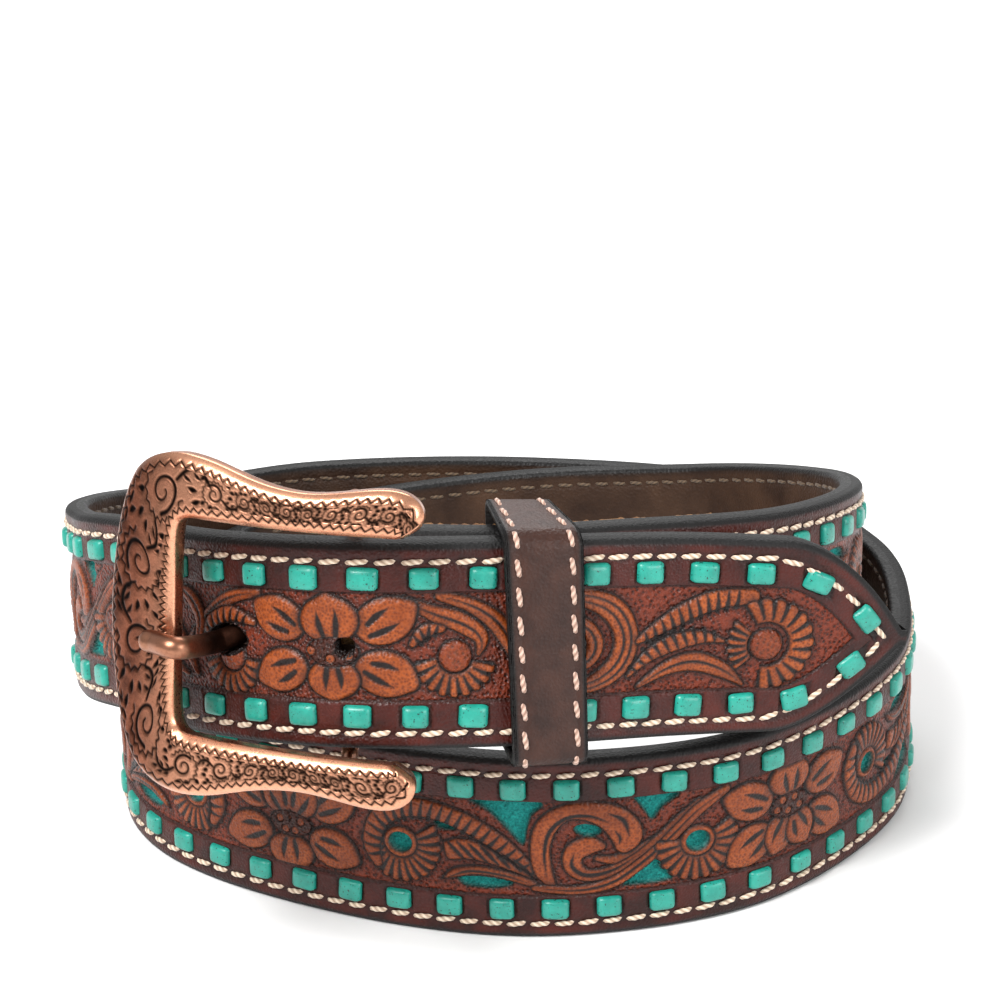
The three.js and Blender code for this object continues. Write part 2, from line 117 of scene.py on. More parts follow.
dense = smooth_rows(ROUTE, 24)
PLACES = dense[:, :3] * [COIL, COIL, WIDTH]
PLACES[:, 2] = np.maximum(PLACES[:, 2], 0)
ALONG = run_length(PLACES)
LENGTH = ALONG[-1]

# The strap's directions, worked out every millimetre.
MARKS = np.linspace(0, LENGTH, int(LENGTH) + 1)
TANGENT = unit(spread(np.minimum(MARKS + 4, LENGTH), ALONG, PLACES)
               - spread(np.maximum(MARKS - 4, 0), ALONG, PLACES))
OUTWARD = unit(np.stack([TANGENT[:, 1], -TANGENT[:, 0], 0 * MARKS], axis=1))
UP = unit(np.cross(OUTWARD, TANGENT))
lean = np.interp(MARKS, ALONG, dense[:, 3] * LEAN)[:, None]
UP = UP * np.cos(lean) + OUTWARD * np.sin(lean)

front_low = np.flatnonzero((PLACES[:, 2] < 1) & (PLACES[:, 1] < 0))
FLOWER_AT = ALONG[front_low[np.argmin(np.abs(PLACES[front_low, 0] - FLOWER_SIDE * COIL))]]


def half_width(along):
    """Half the strap's width: it narrows to a point at the tip."""
    share = np.clip((LENGTH - along) / TIP_LENGTH, 0, 1)
    return HALF * np.maximum(0.08, 1 - (1 - share) ** 1.7)


SHIFT = np.zeros(3)


def bend(along, across, out):
    """Points of the flat strap in the coil, in metres."""
    along, across, out = np.broadcast_arrays(*(np.asarray(v, float) for v in (along, across, out)))
    inside = np.clip(along, 0, LENGTH)
    point = (spread(inside, ALONG, PLACES)
             + spread(inside, MARKS, UP) * (across + HALF)[..., None]
             + spread(inside, MARKS, OUTWARD) * out[..., None]
             + TANGENT[0] * (along - inside)[..., None])
    return (point + SHIFT) * MM


# The CAD model stands with the middle of its foot on the origin: the lining's box says where.
turns = FLOWER_AT + (np.arange(-60, 80) + 0.5) * PITCH
turns = np.append(turns[(turns > 1) & (turns < LENGTH - TIP_LENGTH)], [0, LENGTH])[:, None, None]
sides = (half_width(turns) * np.array([-1, 1])[None, :, None])
own = bend(turns, sides, np.array([-THICK, 1.6 - THICK])[None, None, :]).reshape(-1, 3)
lining_low, lining_high = (np.array(corner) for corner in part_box("strap_lining"))
middle = (lining_low + lining_high) / 2 - (own.min(0) + own.max(0)) / 2
SHIFT = np.array([middle[0], middle[1], 0]) / MM


def to_segment(gx, gy, a, b):
    """How far places lie from the line a to b, and where along it the nearest one is."""
    d = b[:2] - a[:2]
    t = np.clip(((gx - a[0]) * d[0] + (gy - a[1]) * d[1]) / max(d @ d, 1e-9), 0, 1)
    return np.hypot(gx - a[0] - t * d[0], gy - a[1] - t * d[1]), t


class Drawing:
    """Tooling drawn flat on a fine grid: how high it stands, what is cut, raised or open."""

    STEP = 0.1
    SHARP = 0.06

    def __init__(self, length, half, start=0.0):
        self.half, self.start = half, start
        x = np.arange(start, length + self.STEP / 2, self.STEP)
        y = np.arange(-half, half + self.STEP / 2, self.STEP)
        self.x, self.y = np.meshgrid(x, y, indexing="ij")
        self.height, self.cut, self.open, self.raised = (np.zeros_like(self.x) for _ in range(4))

    def part(self, low_x, high_x, low_y, high_y, spare=1.6):
        """The grid's part that a shape can reach, and its places."""
        size = self.x.shape
        low_x, high_x = low_x - self.start, high_x - self.start
        edges = [(low_x - spare) / self.STEP, (high_x + spare) / self.STEP + 1,
                 (low_y - spare + self.half) / self.STEP, (high_y + spare + self.half) / self.STEP + 1]
        a, b = (int(min(max(e, 0), size[0])) for e in edges[:2])
        c, d = (int(min(max(e, 0), size[1])) for e in edges[2:])
        where = (slice(a, b), slice(c, d))
        return where, self.x[where], self.y[where]

    def lift(self, where, distance, tone=1.0, line=0.36):
        """A raised shape with a cut outline, and a ground round it that is beaten down and darkened: partly
        burnished leather, partly painted shade.
        """
        inside = distance < 0
        rise = 1 - np.exp(np.minimum(distance, 0) / 0.6)
        self.height[where] = np.where(inside, 0.3 + 0.7 * rise, self.height[where])
        self.raised[where] = np.where(inside, tone, self.raised[where])
        self.open[where] = np.where(distance < 0.3, 0, self.open[where])
        # The ground's dark fall-off next to the shape is partly burnished leather and partly painted shade.
        beaten = 0.82 * np.exp(-np.maximum(distance, 0) / 0.95)
        shade = np.where(inside, 0, np.maximum(self.cut[where], beaten))
        self.cut[where] = np.maximum(shade, ridge(distance, line))

    def oval(self, x, y, long, high, turn=0.0):
        reach = max(long, high)
        where, gx, gy = self.part(x - reach, x + reach, y - reach, y + reach)
        c, s = math.cos(math.radians(turn)), math.sin(math.radians(turn))
        u, v = (gx - x) * c + (gy - y) * s, (gy - y) * c - (gx - x) * s
        size = np.sqrt((u / long) ** 2 + (v / high) ** 2)
        return where, (size - 1) * min(long, high) * (0.6 + 0.4 * reach / min(long, high))

    def stroke(self, rows, steps=8):
        """Distance to a line of places (x, y, half its width) with a smooth course."""
        rows = smooth_rows(rows, steps)
        wide = rows[:, 2].max()
        low, high = rows.min(0), rows.max(0)
        where, gx, gy = self.part(low[0] - wide, high[0] + wide, low[1] - wide, high[1] + wide)
        best = np.full(gx.shape, 99.0)
        for a, b in zip(rows[:-1], rows[1:]):
            off, t = to_segment(gx, gy, a, b)
            best = np.minimum(best, off - (a[2] + (b[2] - a[2]) * t))
        return where, best

    def field(self, corners):
        """Distance to a closed outline with smooth sides."""
        line = smooth_rows(list(corners) + [corners[0]], 5)
        low, high = line.min(0), line.max(0)
        where, gx, gy = self.part(low[0], high[0], low[1], high[1])
        best = np.full(gx.shape, 99.0)
        inside = np.zeros(gx.shape, bool)
        for a, b in zip(line[:-1], line[1:]):
            best = np.minimum(best, to_segment(gx, gy, a, b)[0])
            d = b - a
            rises = (a[1] > gy) != (b[1] > gy)
            slope = d[1] if abs(d[1]) > 1e-9 else 1e-9
            inside ^= rises & (gx < a[0] + (gy - a[1]) * d[0] / slope)
        return where, np.where(inside, -best, best)

    def groove(self, rows, steps=6):
        """A cut line that narrows as its rows say."""
        where, distance = self.stroke(rows, steps)
        self.cut[where] = np.maximum(self.cut[where], within(distance, self.SHARP))

    def pierce(self, where, distance):
        self.open[where] = np.maximum(self.open[where], within(distance, 0.07))
        self.cut[where] = np.maximum(self.cut[where] * (distance > 0), ridge(distance, 0.3))
        self.raised[where] = np.where(distance < 0, 0, self.raised[where])

    def band(self, rows, ribs=0.0, side=1, veins=()):
        """A raised stem: ribs are slashes in from one side, veins run along it."""
        self.lift(*self.stroke(rows))
        line = smooth_rows(rows, 12)
        course = run_length(line[:, :2])
        ahead = unit(np.gradient(line[:, :2], axis=0) + 1e-9)
        aside = beside(ahead) * side
        if ribs:
            for at in np.arange(ribs, course[-1] - ribs / 2, ribs):
                p, f, a = (spread(at, course, v) for v in (line, ahead, aside))
                deep, edge = p[:2] - a * 0.75 * p[2], p[:2] + a * (p[2] + 0.3) - f * 0.5
                self.groove([(*deep, 0.22), (*edge, 0.6)], 2)
        for share in veins:
            rows = [(*(p[:2] + a * share * p[2]), 0.3 * math.sin(math.pi * k / (len(line) - 1)) + 0.03)
                    for k, (p, a) in enumerate(zip(line, aside)) if k % 8 == 0]
            self.groove(rows, 3)

    def fan(self, x, y, inner, outer, start, end, ribs, lean=0.25):
        """Ribs round a centre between two angles, with slashes that widen outwards."""
        where, gx, gy = self.part(x - outer, x + outer, y - outer, y + outer)
        r = np.hypot(gx - x, gy - y) + 1e-6
        sweep = math.radians(end - start)
        angle = (np.degrees(np.arctan2(gy - y, gx - x)) - start) % 360
        share = angle / (end - start) - lean * (r - inner) / (outer - inner) / ribs
        phase = share * ribs
        near = np.abs(phase - np.round(phase))
        rim = outer - 0.7 * (1 - 2 * near) ** 2
        arc = r * abs(sweep)
        distance = np.maximum.reduce([inner - r, r - rim, -share * arc, (share - 1) * arc])
        self.lift(where, distance)
        depth = np.clip((r - inner) / (outer - inner), 0, 1)
        slash = near * arc / ribs - (0.2 + 0.42 * depth)
        mask = within(slash, self.SHARP) * (distance < self.STEP) * (depth > 0.12)
        self.cut[where] = np.maximum(self.cut[where], mask)

    def disc(self, x, y, size):
        """A stippled round centre."""
        self.lift(*self.oval(x, y, size, size), tone=0.35)

    def eye(self, x, y, long, high):
        """A hole in a plain ring."""
        self.lift(*self.oval(x, y, long + 1.3, high + 1.3))
        self.pierce(*self.oval(x, y, long, high))

    def petal(self, x, y, long, high, turn, heart):
        """A pointed petal with two bold veins that lead away from the flower's heart."""
        away = unit(np.array([x, y]) - heart)
        where, distance = self.oval(x, y, long, high, turn)
        gx, gy = self.x[where] - x, self.y[where] - y
        outward = (gx * away[0] + gy * away[1]) / (np.hypot(gx, gy) + 0.1)
        point = 1.1 * np.maximum(outward, 0) ** 24 * (np.hypot(gx, gy) > 1)
        self.lift(where, distance - point, line=0.46)
        aside = np.array([-away[1], away[0]])
        reach = 0.5 * (long + high)
        for off, begin, stop in ((-0.3, -0.7, 0.44), (0.36, -0.55, 0.36)):
            a = np.array([x, y]) + away * begin * reach + aside * off * high * 0.7
            b = np.array([x, y]) + away * stop * reach + aside * off * high * 1.15
            mid = (a + b) / 2 + aside * off * 0.6
            self.groove([(*a, 0.5), (*mid, 0.62), (*b, 0.08)], 4)

    def heart(self, x, y, over, dots):
        where, distance = self.oval(x, y, 4.9, 2.7)
        self.lift(where, distance, tone=0.1)
        self.cut[where] = np.maximum(self.cut[where], 0.75 * within(distance, 0.1))
        for dx, dy in dots:
            where, distance = self.oval(x + dx, y + over * dy, 0.95, 0.9)
            self.lift(where, distance, line=0.2)
            self.groove([(x + dx - 0.02, y + over * dy, 0.2), (x + dx + 0.02, y + over * dy, 0.2)], 2)

    def flower(self, x, y, over, petals, dots):
        for dx, dy, long, high, turn in petals:
            self.petal(x + dx, y + over * dy, long, high, over * turn, np.array([x, y]))
        self.heart(x, y, over, dots)

    def read(self, what, x, y):
        """A value of the drawing at flat places, read between the grid's points."""
        grid = getattr(self, what)
        i = np.clip((x - self.start) / self.STEP, 0, grid.shape[0] - 1.001)
        j = np.clip((y + self.half) / self.STEP, 0, grid.shape[1] - 1.001)
        a, b = i.astype(int), j.astype(int)
        u, v = i - a, j - b
        return ((grid[a, b] * (1 - v) + grid[a, b + 1] * v) * (1 - u)
                + (grid[a + 1, b] * (1 - v) + grid[a + 1, b + 1] * v) * u)


# The tooling between one flower's middle and the next, which is turned over. x along, y across.
FIELD = 10
REPEAT = 10 * PITCH
HEART_LEFT = -3.5  # the middle flower's heart, from the lace square at FLOWER_AT
HEART_LOW = -1.3
DOTS = [(-3.3, 0.4), (-0.6, 1.2), (2.4, 0.8), (-1.9, -1.4), (1.1, -1.3)]
# x, y from the heart, half length, half height, turn
PETALS = [
    (9.6, 6.2, 5.6, 4.4, 28), (-9.6, 6.2, 5.6, 4.4, -28), (9.7, -3.5, 5.6, 4.3, -15),
    (-9.7, -3.5, 5.6, 4.3, 15), (0, -6, 5.4, 3.9, 0), (-2.7, 5.8, 3.9, 4.2, 0), (2.7, 5.8, 3.9, 4.2, 0),
]
# Outlines of what shows the suede.
GAPS = [
    [(39, 9.8), (53, 9.8), (51.2, 7), (50.2, 3.6), (49.4, 1), (46.2, 4.6), (42.6, 8)],
    [(31.6, 3.4), (35.6, 3.2), (34.6, 4.9), (32, 4.8)],
    [(36.2, -7), (41, -6.5), (47.2, -7.4), (44, -8.5), (38, -8.4)],
    [(71.6, 9.8), (80.2, 9.8), (77, 7.4), (75, 5), (73.6, 7)],
    [(69, -8.8), (78.6, -8.6), (77, -5.2), (75.6, -3.2), (72, -6)],
]
# Lines of (x, y, half the width).
ARCH = [(19.6, -5.6, 1.2), (18.4, -1.6, 2), (20, 3.4, 2.2), (24, 6.4, 2.2), (28.6, 7.2, 2.1),
        (33.2, 6.6, 2), (37.6, 5.2, 2), (41.8, 3.1, 2), (46.1, 0.2, 1.8), (50, -3.4, 1.2),
        (52.1, -6, 0.4)]
FEATHER = [(33.4, 0.6), (36.7, 1.7), (40.2, 1.2), (44, -0.9), (48.7, -4), (51.4, -6.3), (47, -4.7),
           (42.7, -3.3), (38.4, -2.7), (34.4, -3)]
SMOOTH_LEAF = [(33, -7.5), (35.3, -4.9), (40, -3.9), (45.2, -4.5), (51.3, -6.5), (52.6, -8.5),
               (45.2, -6.4), (40, -5.9), (35.8, -6.9)]
SCROLL = [(55.2, -7.9, 0.8), (53.3, -4.3, 1.9), (52.9, 0.5, 2.1), (54.3, 4.9, 2.2), (57.9, 7.7, 1.8),
          (62.5, 7.8, 2.1), (67.2, 5.9, 3), (69.8, 2.5, 3.3), (69.2, 0.2, 1.9)]
CURL = [(64.9, 0.2, 0.9), (62.3, 0.5, 2), (59.5, -0.9, 2.1), (59.3, -3.9, 1.9), (62, -5.9, 1.4),
        (66.8, -5.3, 1.2), (72, -2.6, 1.1), (76.3, 0.8, 1), (80.6, 4.6, 0.9), (84.4, 7.6, 0.6)]
STEM = [(51.5, -8.3, 0.7), (55, -8.6, 1), (59, -9, 1), (63.4, -8.7, 1.2), (67.7, -7.4, 1.3),
        (72, -4.6, 1.3), (76.3, -1.3, 1.3), (80.6, 2.6, 1.4), (84.4, 5.9, 1.4), (90, 9, 1)]
TONGUE = [(64, -2.4, 0.7), (68, -2.9, 1.1), (72.6, -0.9, 0.9), (75.4, 1.2, 0.3)]
LEAF_VEIN = [(34.6, -6.7, 0.08), (39, -5, 0.32), (46, -5.6, 0.26), (51, -7.3, 0.06)]
CURL_VEIN = [(59.4, -0.9, 0.1), (59, -3.6, 0.46), (61.8, -5.7, 0.5), (66.8, -5, 0.34), (71.5, -2.4, 0.08)]
SCROLL_VEINS = [
    [(54, -5.5, 0.08), (53.7, -0.5, 0.36), (55, 4.2, 0.46), (58.4, 6.8, 0.46), (62.6, 7, 0.36),
     (66.4, 5.4, 0.1)],
    [(66.2, 7.4, 0.08), (69.2, 5.6, 0.5), (70.2, 2.2, 0.08)],
    [(67.4, 3.6, 0.08), (68.4, 2, 0.34), (68.2, 0.4, 0.06)],
]
FIRST_SWIRL, SECOND_SWIRL = (24.6, -0.6), (84, -1)


def draw_unit():
    d = Drawing(REPEAT, FIELD)
    for gap in GAPS:
        d.pierce(*d.field(gap))
    d.fan(*FIRST_SWIRL, 3.1, 8.6, 172, 392, 14)
    d.band(ARCH, ribs=2, side=-1)
    d.eye(*FIRST_SWIRL, 2.3, 2)
    d.lift(*d.field(FEATHER))
    for k in range(7):
        x, y = 34.2 + 2.2 * k, 1.1 - 0.112 * max(k - 1, 0) ** 2
        d.groove([(x, y, 0.16), (x + 1.8, y - 1.7, 0.5), (x + 3.8, y - 3.9, 0.3)], 3)
    d.lift(*d.field(SMOOTH_LEAF))
    d.groove(LEAF_VEIN)
    d.band(TONGUE)
    d.band(CURL)
    d.groove(CURL_VEIN)
    d.band(SCROLL)
    for vein in SCROLL_VEINS:
        d.groove(vein)
    d.pierce(*d.oval(62.3, 3.6, 2.5, 1.15, -10))
    d.band(STEM, veins=(0.15,))
    d.fan(*SECOND_SWIRL, 3.2, 8.8, 168, 388, 13)
    d.eye(*SECOND_SWIRL, 2.3, 2.1)
    d.flower(0, HEART_LOW, 1, PETALS, DOTS)
    d.flower(REPEAT, -HEART_LOW, -1, PETALS, DOTS)
    return d


# The billet's own tooling, x from BILLET_FROM along the strap.
BILLET_FROM = 1000
BILLET_LEAD = 22
BILLET_PETALS = [(-10.3, 5.7, 5.6, 4.2, -20), (9.4, 5.8, 5.7, 4.4, 22), (-10.1, -3.9, 5.4, 4.2, 14),
                 (9.4, -4, 5.7, 4.4, -14), (0, -5.2, 5.1, 3.8, 0), (-0.5, 5.8, 5.5, 4.5, 0)]
BILLET_DOTS = [(-4, 0.1), (-0.4, -1.3), (2.9, -0.6)]
BILLET_BANDS = [
    # rows, ribs, side, veins
    ([(-8, -6, 1), (-2, -0.5, 1.2), (3.5, 4.6, 1.4), (9, 7.8, 1.4), (16, 9.2, 0.9)], 0, 1, (0.1,)),
    ([(0.5, 0.4, 0.9), (4, 3.2, 1.5), (9, 4.8, 1.6), (14.6, 3.6, 0.8)], 1.7, -1, ()),
    ([(50, 9.4, 1), (55.5, 7.6, 1.4), (60, 4.6, 1.8), (63.2, 0, 1.7), (65.5, -5, 1.1)], 0, 1, (0.1,)),
    ([(43.8, 8.9, 0.7), (48.5, 6.4, 1.5), (53.5, 4.6, 1.9), (57.4, 1.8, 1.5), (57, -1.4, 0.5)], 0, 1,
     (0,)),
    ([(45.2, 0.6, 0.7), (47.4, 3, 1.3), (50.4, 3.4, 0.8)], 1.4, -1, ()),
    ([(70, 8.8, 1.2), (77, 8.2, 1.9), (82.6, 5.6, 2.5), (85.2, 0.6, 2.5), (83.6, -4.6, 2.3),
      (78.4, -7.9, 1.7), (71, -8.6, 0.9)], 0, 1, (-0.25, 0.35)),
    ([(73, 4.2, 0.9), (77, 3, 1.5), (79, -0.4, 1.8), (77.4, -3.6, 1.5), (73.6, -4.4, 0.9)], 0, 1, (0,)),
    ([(87.6, -0.2, 0.7), (92, 2.4, 1.5), (97, 5.2, 1.9), (102.5, 7.4, 1.9), (109, 8.2, 1.6)], 1.9, -1,
     ()),
    ([(85.8, -6.8, 0.4), (90, -3, 1.3), (95, -0.7, 1.7), (100, 0.2, 1.3), (104.4, -0.6, 0.4)], 1.9, 1,
     ()),
    ([(88, -8.8, 0.5), (93.5, -5.6, 1.4), (99, -4.5, 1.9), (104.5, -6.2, 1.6), (108.5, -9, 0.5)], 0, 1,
     (0.1,)),
]


# x, y, size of the disc, fans: inner, outer, start, end, ribs and lean
BILLET_SWIRLS = [
    (9, -2.7, 3.2, [(3.3, 7.6, 190, 350, 9)]),
    (52.8, -1.7, 3.1, [(3.2, 7.8, 185, 345, 9)]),
    (112.5, -1.2, 3.2, [(4.3, 9.2, -100, 118, 12), (3.5, 7.6, 140, 225, 6, 0)]),
]
# What runs on behind the buckle.
BILLET_ROOTS = [
    [(-21, 6.5, 1), (-15, 4.4, 2), (-9, 1.4, 2), (-4, -3, 1.6), (-1, -7.4, 0.6)],
    [(-22, -2, 1.2), (-16, -3.6, 1.8), (-10, -5.4, 1.5), (-4, -7.8, 0.6)],
    [(-7, 8.6, 0.6), (-2.5, 7.2, 1.6), (0.4, 3.4, 1.6), (-0.4, -0.8, 1)],
]


def draw_billet():
    d = Drawing(LENGTH - BILLET_FROM, FIELD, -BILLET_LEAD)
    for rows, ribs, side, veins in BILLET_BANDS:
        d.band(rows, ribs, side, veins)
    for rows in BILLET_ROOTS:
        d.band(rows, 0, 1, (0.2,))
    for x, y, size, fans in BILLET_SWIRLS:
        for fan in fans:
            d.fan(x, y, *fan)
        d.disc(x, y, size)
    d.flower(31, -0.9, 1, BILLET_PETALS, BILLET_DOTS)
    return d


UNIT, BILLET = draw_unit(), draw_billet()
# How much darker the raised tooling is painted on the turns than on the billet: painted shade.
TURN_SHADE = 0.84
# No openwork next to the strap's two ends.
PLAIN_START = 10 * PITCH
PLAIN_FROM = LENGTH - 17 * PITCH


def tooling(along, across):
    """What the drawings say at places of the strap: height, cut, open, raised."""
    off = np.abs(along - FLOWER_AT - HEART_LEFT)
    count = np.floor(off / REPEAT)
    x, over = off - count * REPEAT, np.where(count % 2, -1, 1)
    on_billet = along > BILLET_FROM - BILLET_LEAD
    found = {}
    for what in ("height", "cut", "open", "raised"):
        found[what] = np.where(on_billet, BILLET.read(what, along - BILLET_FROM, across),
                               UNIT.read(what, x, across * over))
    shut = (along < PLAIN_START) | (along > PLAIN_FROM)
    found["open"] = np.where(shut, 0, found["open"])
    # The raised tooling is painted darker on the turns than on the billet: painted shade.
    found["raised"] = found["raised"] * np.where(on_billet, 1, TURN_SHADE)
    return found


def linear(code):
    """A shader colour from its written sRGB code."""
    parts = [int(code[i:i + 2], 16) / 255 for i in (0, 2, 4)]
    return tuple(c / 12.92 if c < 0.04 else ((c + 0.055) / 1.055) ** 2.4 for c in parts) + (1,)


class Finish:
    """A procedural material put together from a few kinds of node."""

    def __init__(self, name, roughness=0.5, metallic=0.0, **sockets):
        self.material = bpy.data.materials.new(name)
        self.material.use_nodes = True
        self.tree = self.material.node_tree
        self.shader = self.tree.nodes["Principled BSDF"]
        self.shader.inputs["Roughness"].default_value = roughness
        self.shader.inputs["Metallic"].default_value = metallic
        for socket, value in sockets.items():
            self.shader.inputs[socket.replace("_", " ")].default_value = value
        self.place = self.tree.nodes.new("ShaderNodeTexCoord").outputs["Object"]

    def node(self, kind, inputs=(), **settings):
        node = self.tree.nodes.new(kind)
        for key, value in settings.items():
            setattr(node, key, value)
        for key, value in dict(inputs).items():
            if isinstance(value, bpy.types.NodeSocket):
                self.tree.links.new(value, node.inputs[key])
            else:
                node.inputs[key].default_value = value
        return node

    def mask(self, name):
        return self.node("ShaderNodeAttribute", attribute_name=name).outputs["Fac"]

    def noise(self, size, detail=4.0, roughness=0.6):
        """Noise with features of about size millimetres."""
        return self.node("ShaderNodeTexNoise", {"Vector": self.place, "Scale": 1 / (size * MM),
                                                "Detail": detail, "Roughness": roughness}).outputs[0]

    def cells(self, size):
        return self.node("ShaderNodeTexVoronoi",
                         {"Vector": self.place, "Scale": 1 / (size * MM)}).outputs["Distance"]

    def spread(self, value, low, high, to_low=0.0, to_high=1.0):
        return self.node("ShaderNodeMapRange", {"Value": value, "From Min": low, "From Max": high,
                                                "To Min": to_low, "To Max": to_high}).outputs[0]

    def mix(self, factor, a, b):
        return self.node("ShaderNodeMix", {0: factor, 6: a, 7: b}, data_type="RGBA").outputs[2]

    def math(self, kind, a, b):
        return self.node("ShaderNodeMath", {0: a, 1: b}, operation=kind).outputs[0]

    def times(self, a, b):
        return self.math("MULTIPLY", a, b)

    def plus(self, a, b):
        return self.math("ADD", a, b)

    def less(self, a, b):
        return self.math("SUBTRACT", a, b)

    def most(self, a, b):
        return self.math("MAXIMUM", a, b)

    def done(self, colour, height=None, depth=0.1, roughness=None):
        self.tree.links.new(colour, self.shader.inputs["Base Color"])
        if roughness is not None:
            self.tree.links.new(roughness, self.shader.inputs["Roughness"])
        if height is not None:
            bump = self.node("ShaderNodeBump", {"Height": height, "Strength": 1.0,
                                                "Distance": depth * MM})
            self.tree.links.new(bump.outputs["Normal"], self.shader.inputs["Normal"])
        return self.material


EDGE_BLACK = "0b0a0a"


def tooled_leather():
    f = Finish("tooled_leather", Specular_IOR_Level=0.32)
    raised, cut, hollow = f.mask("raised"), f.mask("cut"), f.mask("open")
    border, edge = f.mask("border"), f.mask("edge")
    blotch, fine, pebble = f.noise(9), f.noise(0.5), f.cells(0.55)
    top = f.mix(f.spread(blotch, 0.3, 0.7), linear("763410"), linear("a04f1f"))
    top = f.mix(f.spread(pebble, 0.15, 0.75), linear("63280a"), top)
    stipple = f.cells(0.75)
    ground = f.mix(f.spread(stipple, 0.1, 0.6), linear("210805"), linear("6b2812"))
    colour = f.mix(raised, ground, top)
    colour = f.mix(border, colour, f.mix(f.spread(blotch, 0.35, 0.65), linear("260703"),
                                         linear("48140a")))
    # Near-black in the cut lines, the rim and the seam; also painted shade on the ground round raised shapes
    # and at the lace's slots.
    colour = f.mix(f.spread(cut, 0.05, 0.95), colour, linear("120705"))
    suede = f.mix(f.spread(fine, 0.3, 0.7), linear("0c6260"), linear("1e9189"))
    colour = f.mix(hollow, colour, suede)
    colour = f.mix(edge, colour, linear(EDGE_BLACK))
    beaten = f.times(f.less(1.0, raised), f.spread(stipple, 0, 0.7))
    beaten = f.times(beaten, f.less(1.0, border))
    height = f.plus(f.plus(f.times(beaten, 1.4), f.times(pebble, 0.45)), f.times(fine, 0.3))
    rough = f.spread(fine, 0.3, 0.7, 0.3, 0.5)
    rough = f.most(rough, f.times(hollow, 0.95))
    rough = f.most(rough, f.times(edge, 0.62))
    return f.done(colour, height, 0.28, rough)


def plain_leather(name, tones, shine, blotch_size, grain, fine, depth, roughness):
    """Smooth leather with a black edge: fine is the fine noise's size and weight."""
    f = Finish(name, Specular_IOR_Level=shine)
    edge, blotch, noise = f.mask("edge"), f.noise(blotch_size), f.noise(fine[0])
    colour = f.mix(f.spread(blotch, 0.3, 0.7), linear(tones[0]), linear(tones[1]))
    colour = f.mix(edge, colour, linear(EDGE_BLACK))
    height = f.plus(f.cells(grain), f.times(noise, fine[1]))
    return f.done(colour, height, depth, f.spread(noise, 0.3, 0.7, *roughness))


def rough_flesh():
    f = Finish("rough_flesh", roughness=0.95)
    fibres, fine = f.noise(1.6, 8, 0.75), f.noise(0.35)
    colour = f.mix(f.spread(fibres, 0.35, 0.65), linear("6e4526"), linear("b98a57"))
    return f.done(colour, f.plus(fibres, fine), 0.5)


def lace_leather():
    f = Finish("lace_leather", Coat_Weight=0.15, Coat_Roughness=0.25)
    blotch, fine = f.noise(2.5), f.noise(0.5)
    speck = f.spread(f.noise(0.4, 2, 0.4), 0.66, 0.69)
    colour = f.mix(f.spread(blotch, 0.3, 0.7), linear("128071"), linear("219a88"))
    colour = f.mix(speck, colour, linear("062421"))
    return f.done(colour, fine, 0.06, f.spread(fine, 0.3, 0.7, 0.28, 0.42))


def thread(name, low, high):
    f = Finish(name, roughness=0.7, Sheen_Weight=0.2)
    twist, fine = f.mask("twist"), f.noise(0.25)
    # Lighter on the twist's plies and darker in the grooves between them: painted highlight and shade.
    colour = f.mix(twist, linear(low), linear(high))
    return f.done(f.mix(f.spread(fine, 0.35, 0.75, 0, 0.3), colour, linear(low)), fine, 0.05)


def copper(name):
    """Antique copper: dark in its cuts and in painted shade, patina in its field, and bright on its worn rims
    and in painted reflections.
    """
    f = Finish(name, metallic=1.0)
    cut, bare_and_reflection, blotch, fine = f.mask("cut"), f.mask("bare_and_reflection"), f.noise(5), f.noise(0.5)
    patina = f.mix(f.spread(blotch, 0.35, 0.65), linear("4a2a1f"), linear("84503c"))
    # The bright mix is worn copper on the rims and a painted reflection on the buckle's arms.
    colour = f.mix(bare_and_reflection, patina, linear("e3a584"))
    colour = f.mix(f.spread(fine, 0.52, 0.75, 0, 0.4), colour, linear("43261c"))
    # The dark mix is the engraved cuts, and painted shade on the prong.
    colour = f.mix(cut, colour, linear("060404"))
    rough = f.plus(f.spread(fine, 0.3, 0.7, 0.24, 0.36), f.times(cut, 0.35))
    return f.done(colour, fine, 0.02, rough)


def add(name, data):
    thing = bpy.data.objects.new(name, data)
    bpy.context.collection.objects.link(thing)
    return thing


def piece(name, points, faces, material, masks=None, replaces=()):
    """A smooth mesh piece that rides on the belt, with named masks on its points."""
    mesh = bpy.data.meshes.new(name)
    mesh.from_pydata(points.reshape(-1, 3).tolist(), [], faces.tolist())
    mesh.polygons.foreach_set("use_smooth", np.ones(len(mesh.polygons), bool))
    for key, values in (masks or {}).items():
        layer = mesh.attributes.new(key, "FLOAT", "POINT")
        layer.data.foreach_set("value", np.ascontiguousarray(values, np.float32).ravel())
    mesh.materials.append(material)
    mesh.update()
    thing = add(name, mesh)
    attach(thing, "root")
    if replaces:
        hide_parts(*replaces)
    return thing


def net(rows, columns, wrap=False, count=1):
    """Faces of count grids of points, one after the other; wrap closes each row."""
    i = np.arange(rows - 1)[:, None]
    j = np.arange(columns if wrap else columns - 1)[None, :]
    a, b = i * columns + j, i * columns + (j + 1) % columns
    quads = np.stack([a, a + columns, b + columns, b], axis=-1).reshape(-1, 4)
    start = np.arange(count)[:, None, None] * rows * columns
    return (quads[None] + start).reshape(-1, 4)


# The strap's faces: a grid of lines along it, closer together in the tooled field.
ROUND = 1.3  # the rounded edge
MARGIN = [17.4, 17, 16.6, 16.2, 15.8, 15.4, 15, 14.6, 13.9, 13.2, 12.5, 11.8, 11.2, 10.7, 10.4]
FINE, COARSE = 0.25, 0.6
LACE_AT = HALF - 12.7
LACE_EARLY = 0.5
LACE_LATE = (2.9, 1.5)  # the upper row, on the lower turns and on the billet
LACE_SIZE = (5.1, 4.1)
STITCH_AT = HALF - 15.8
BORDER = HALF - FIELD


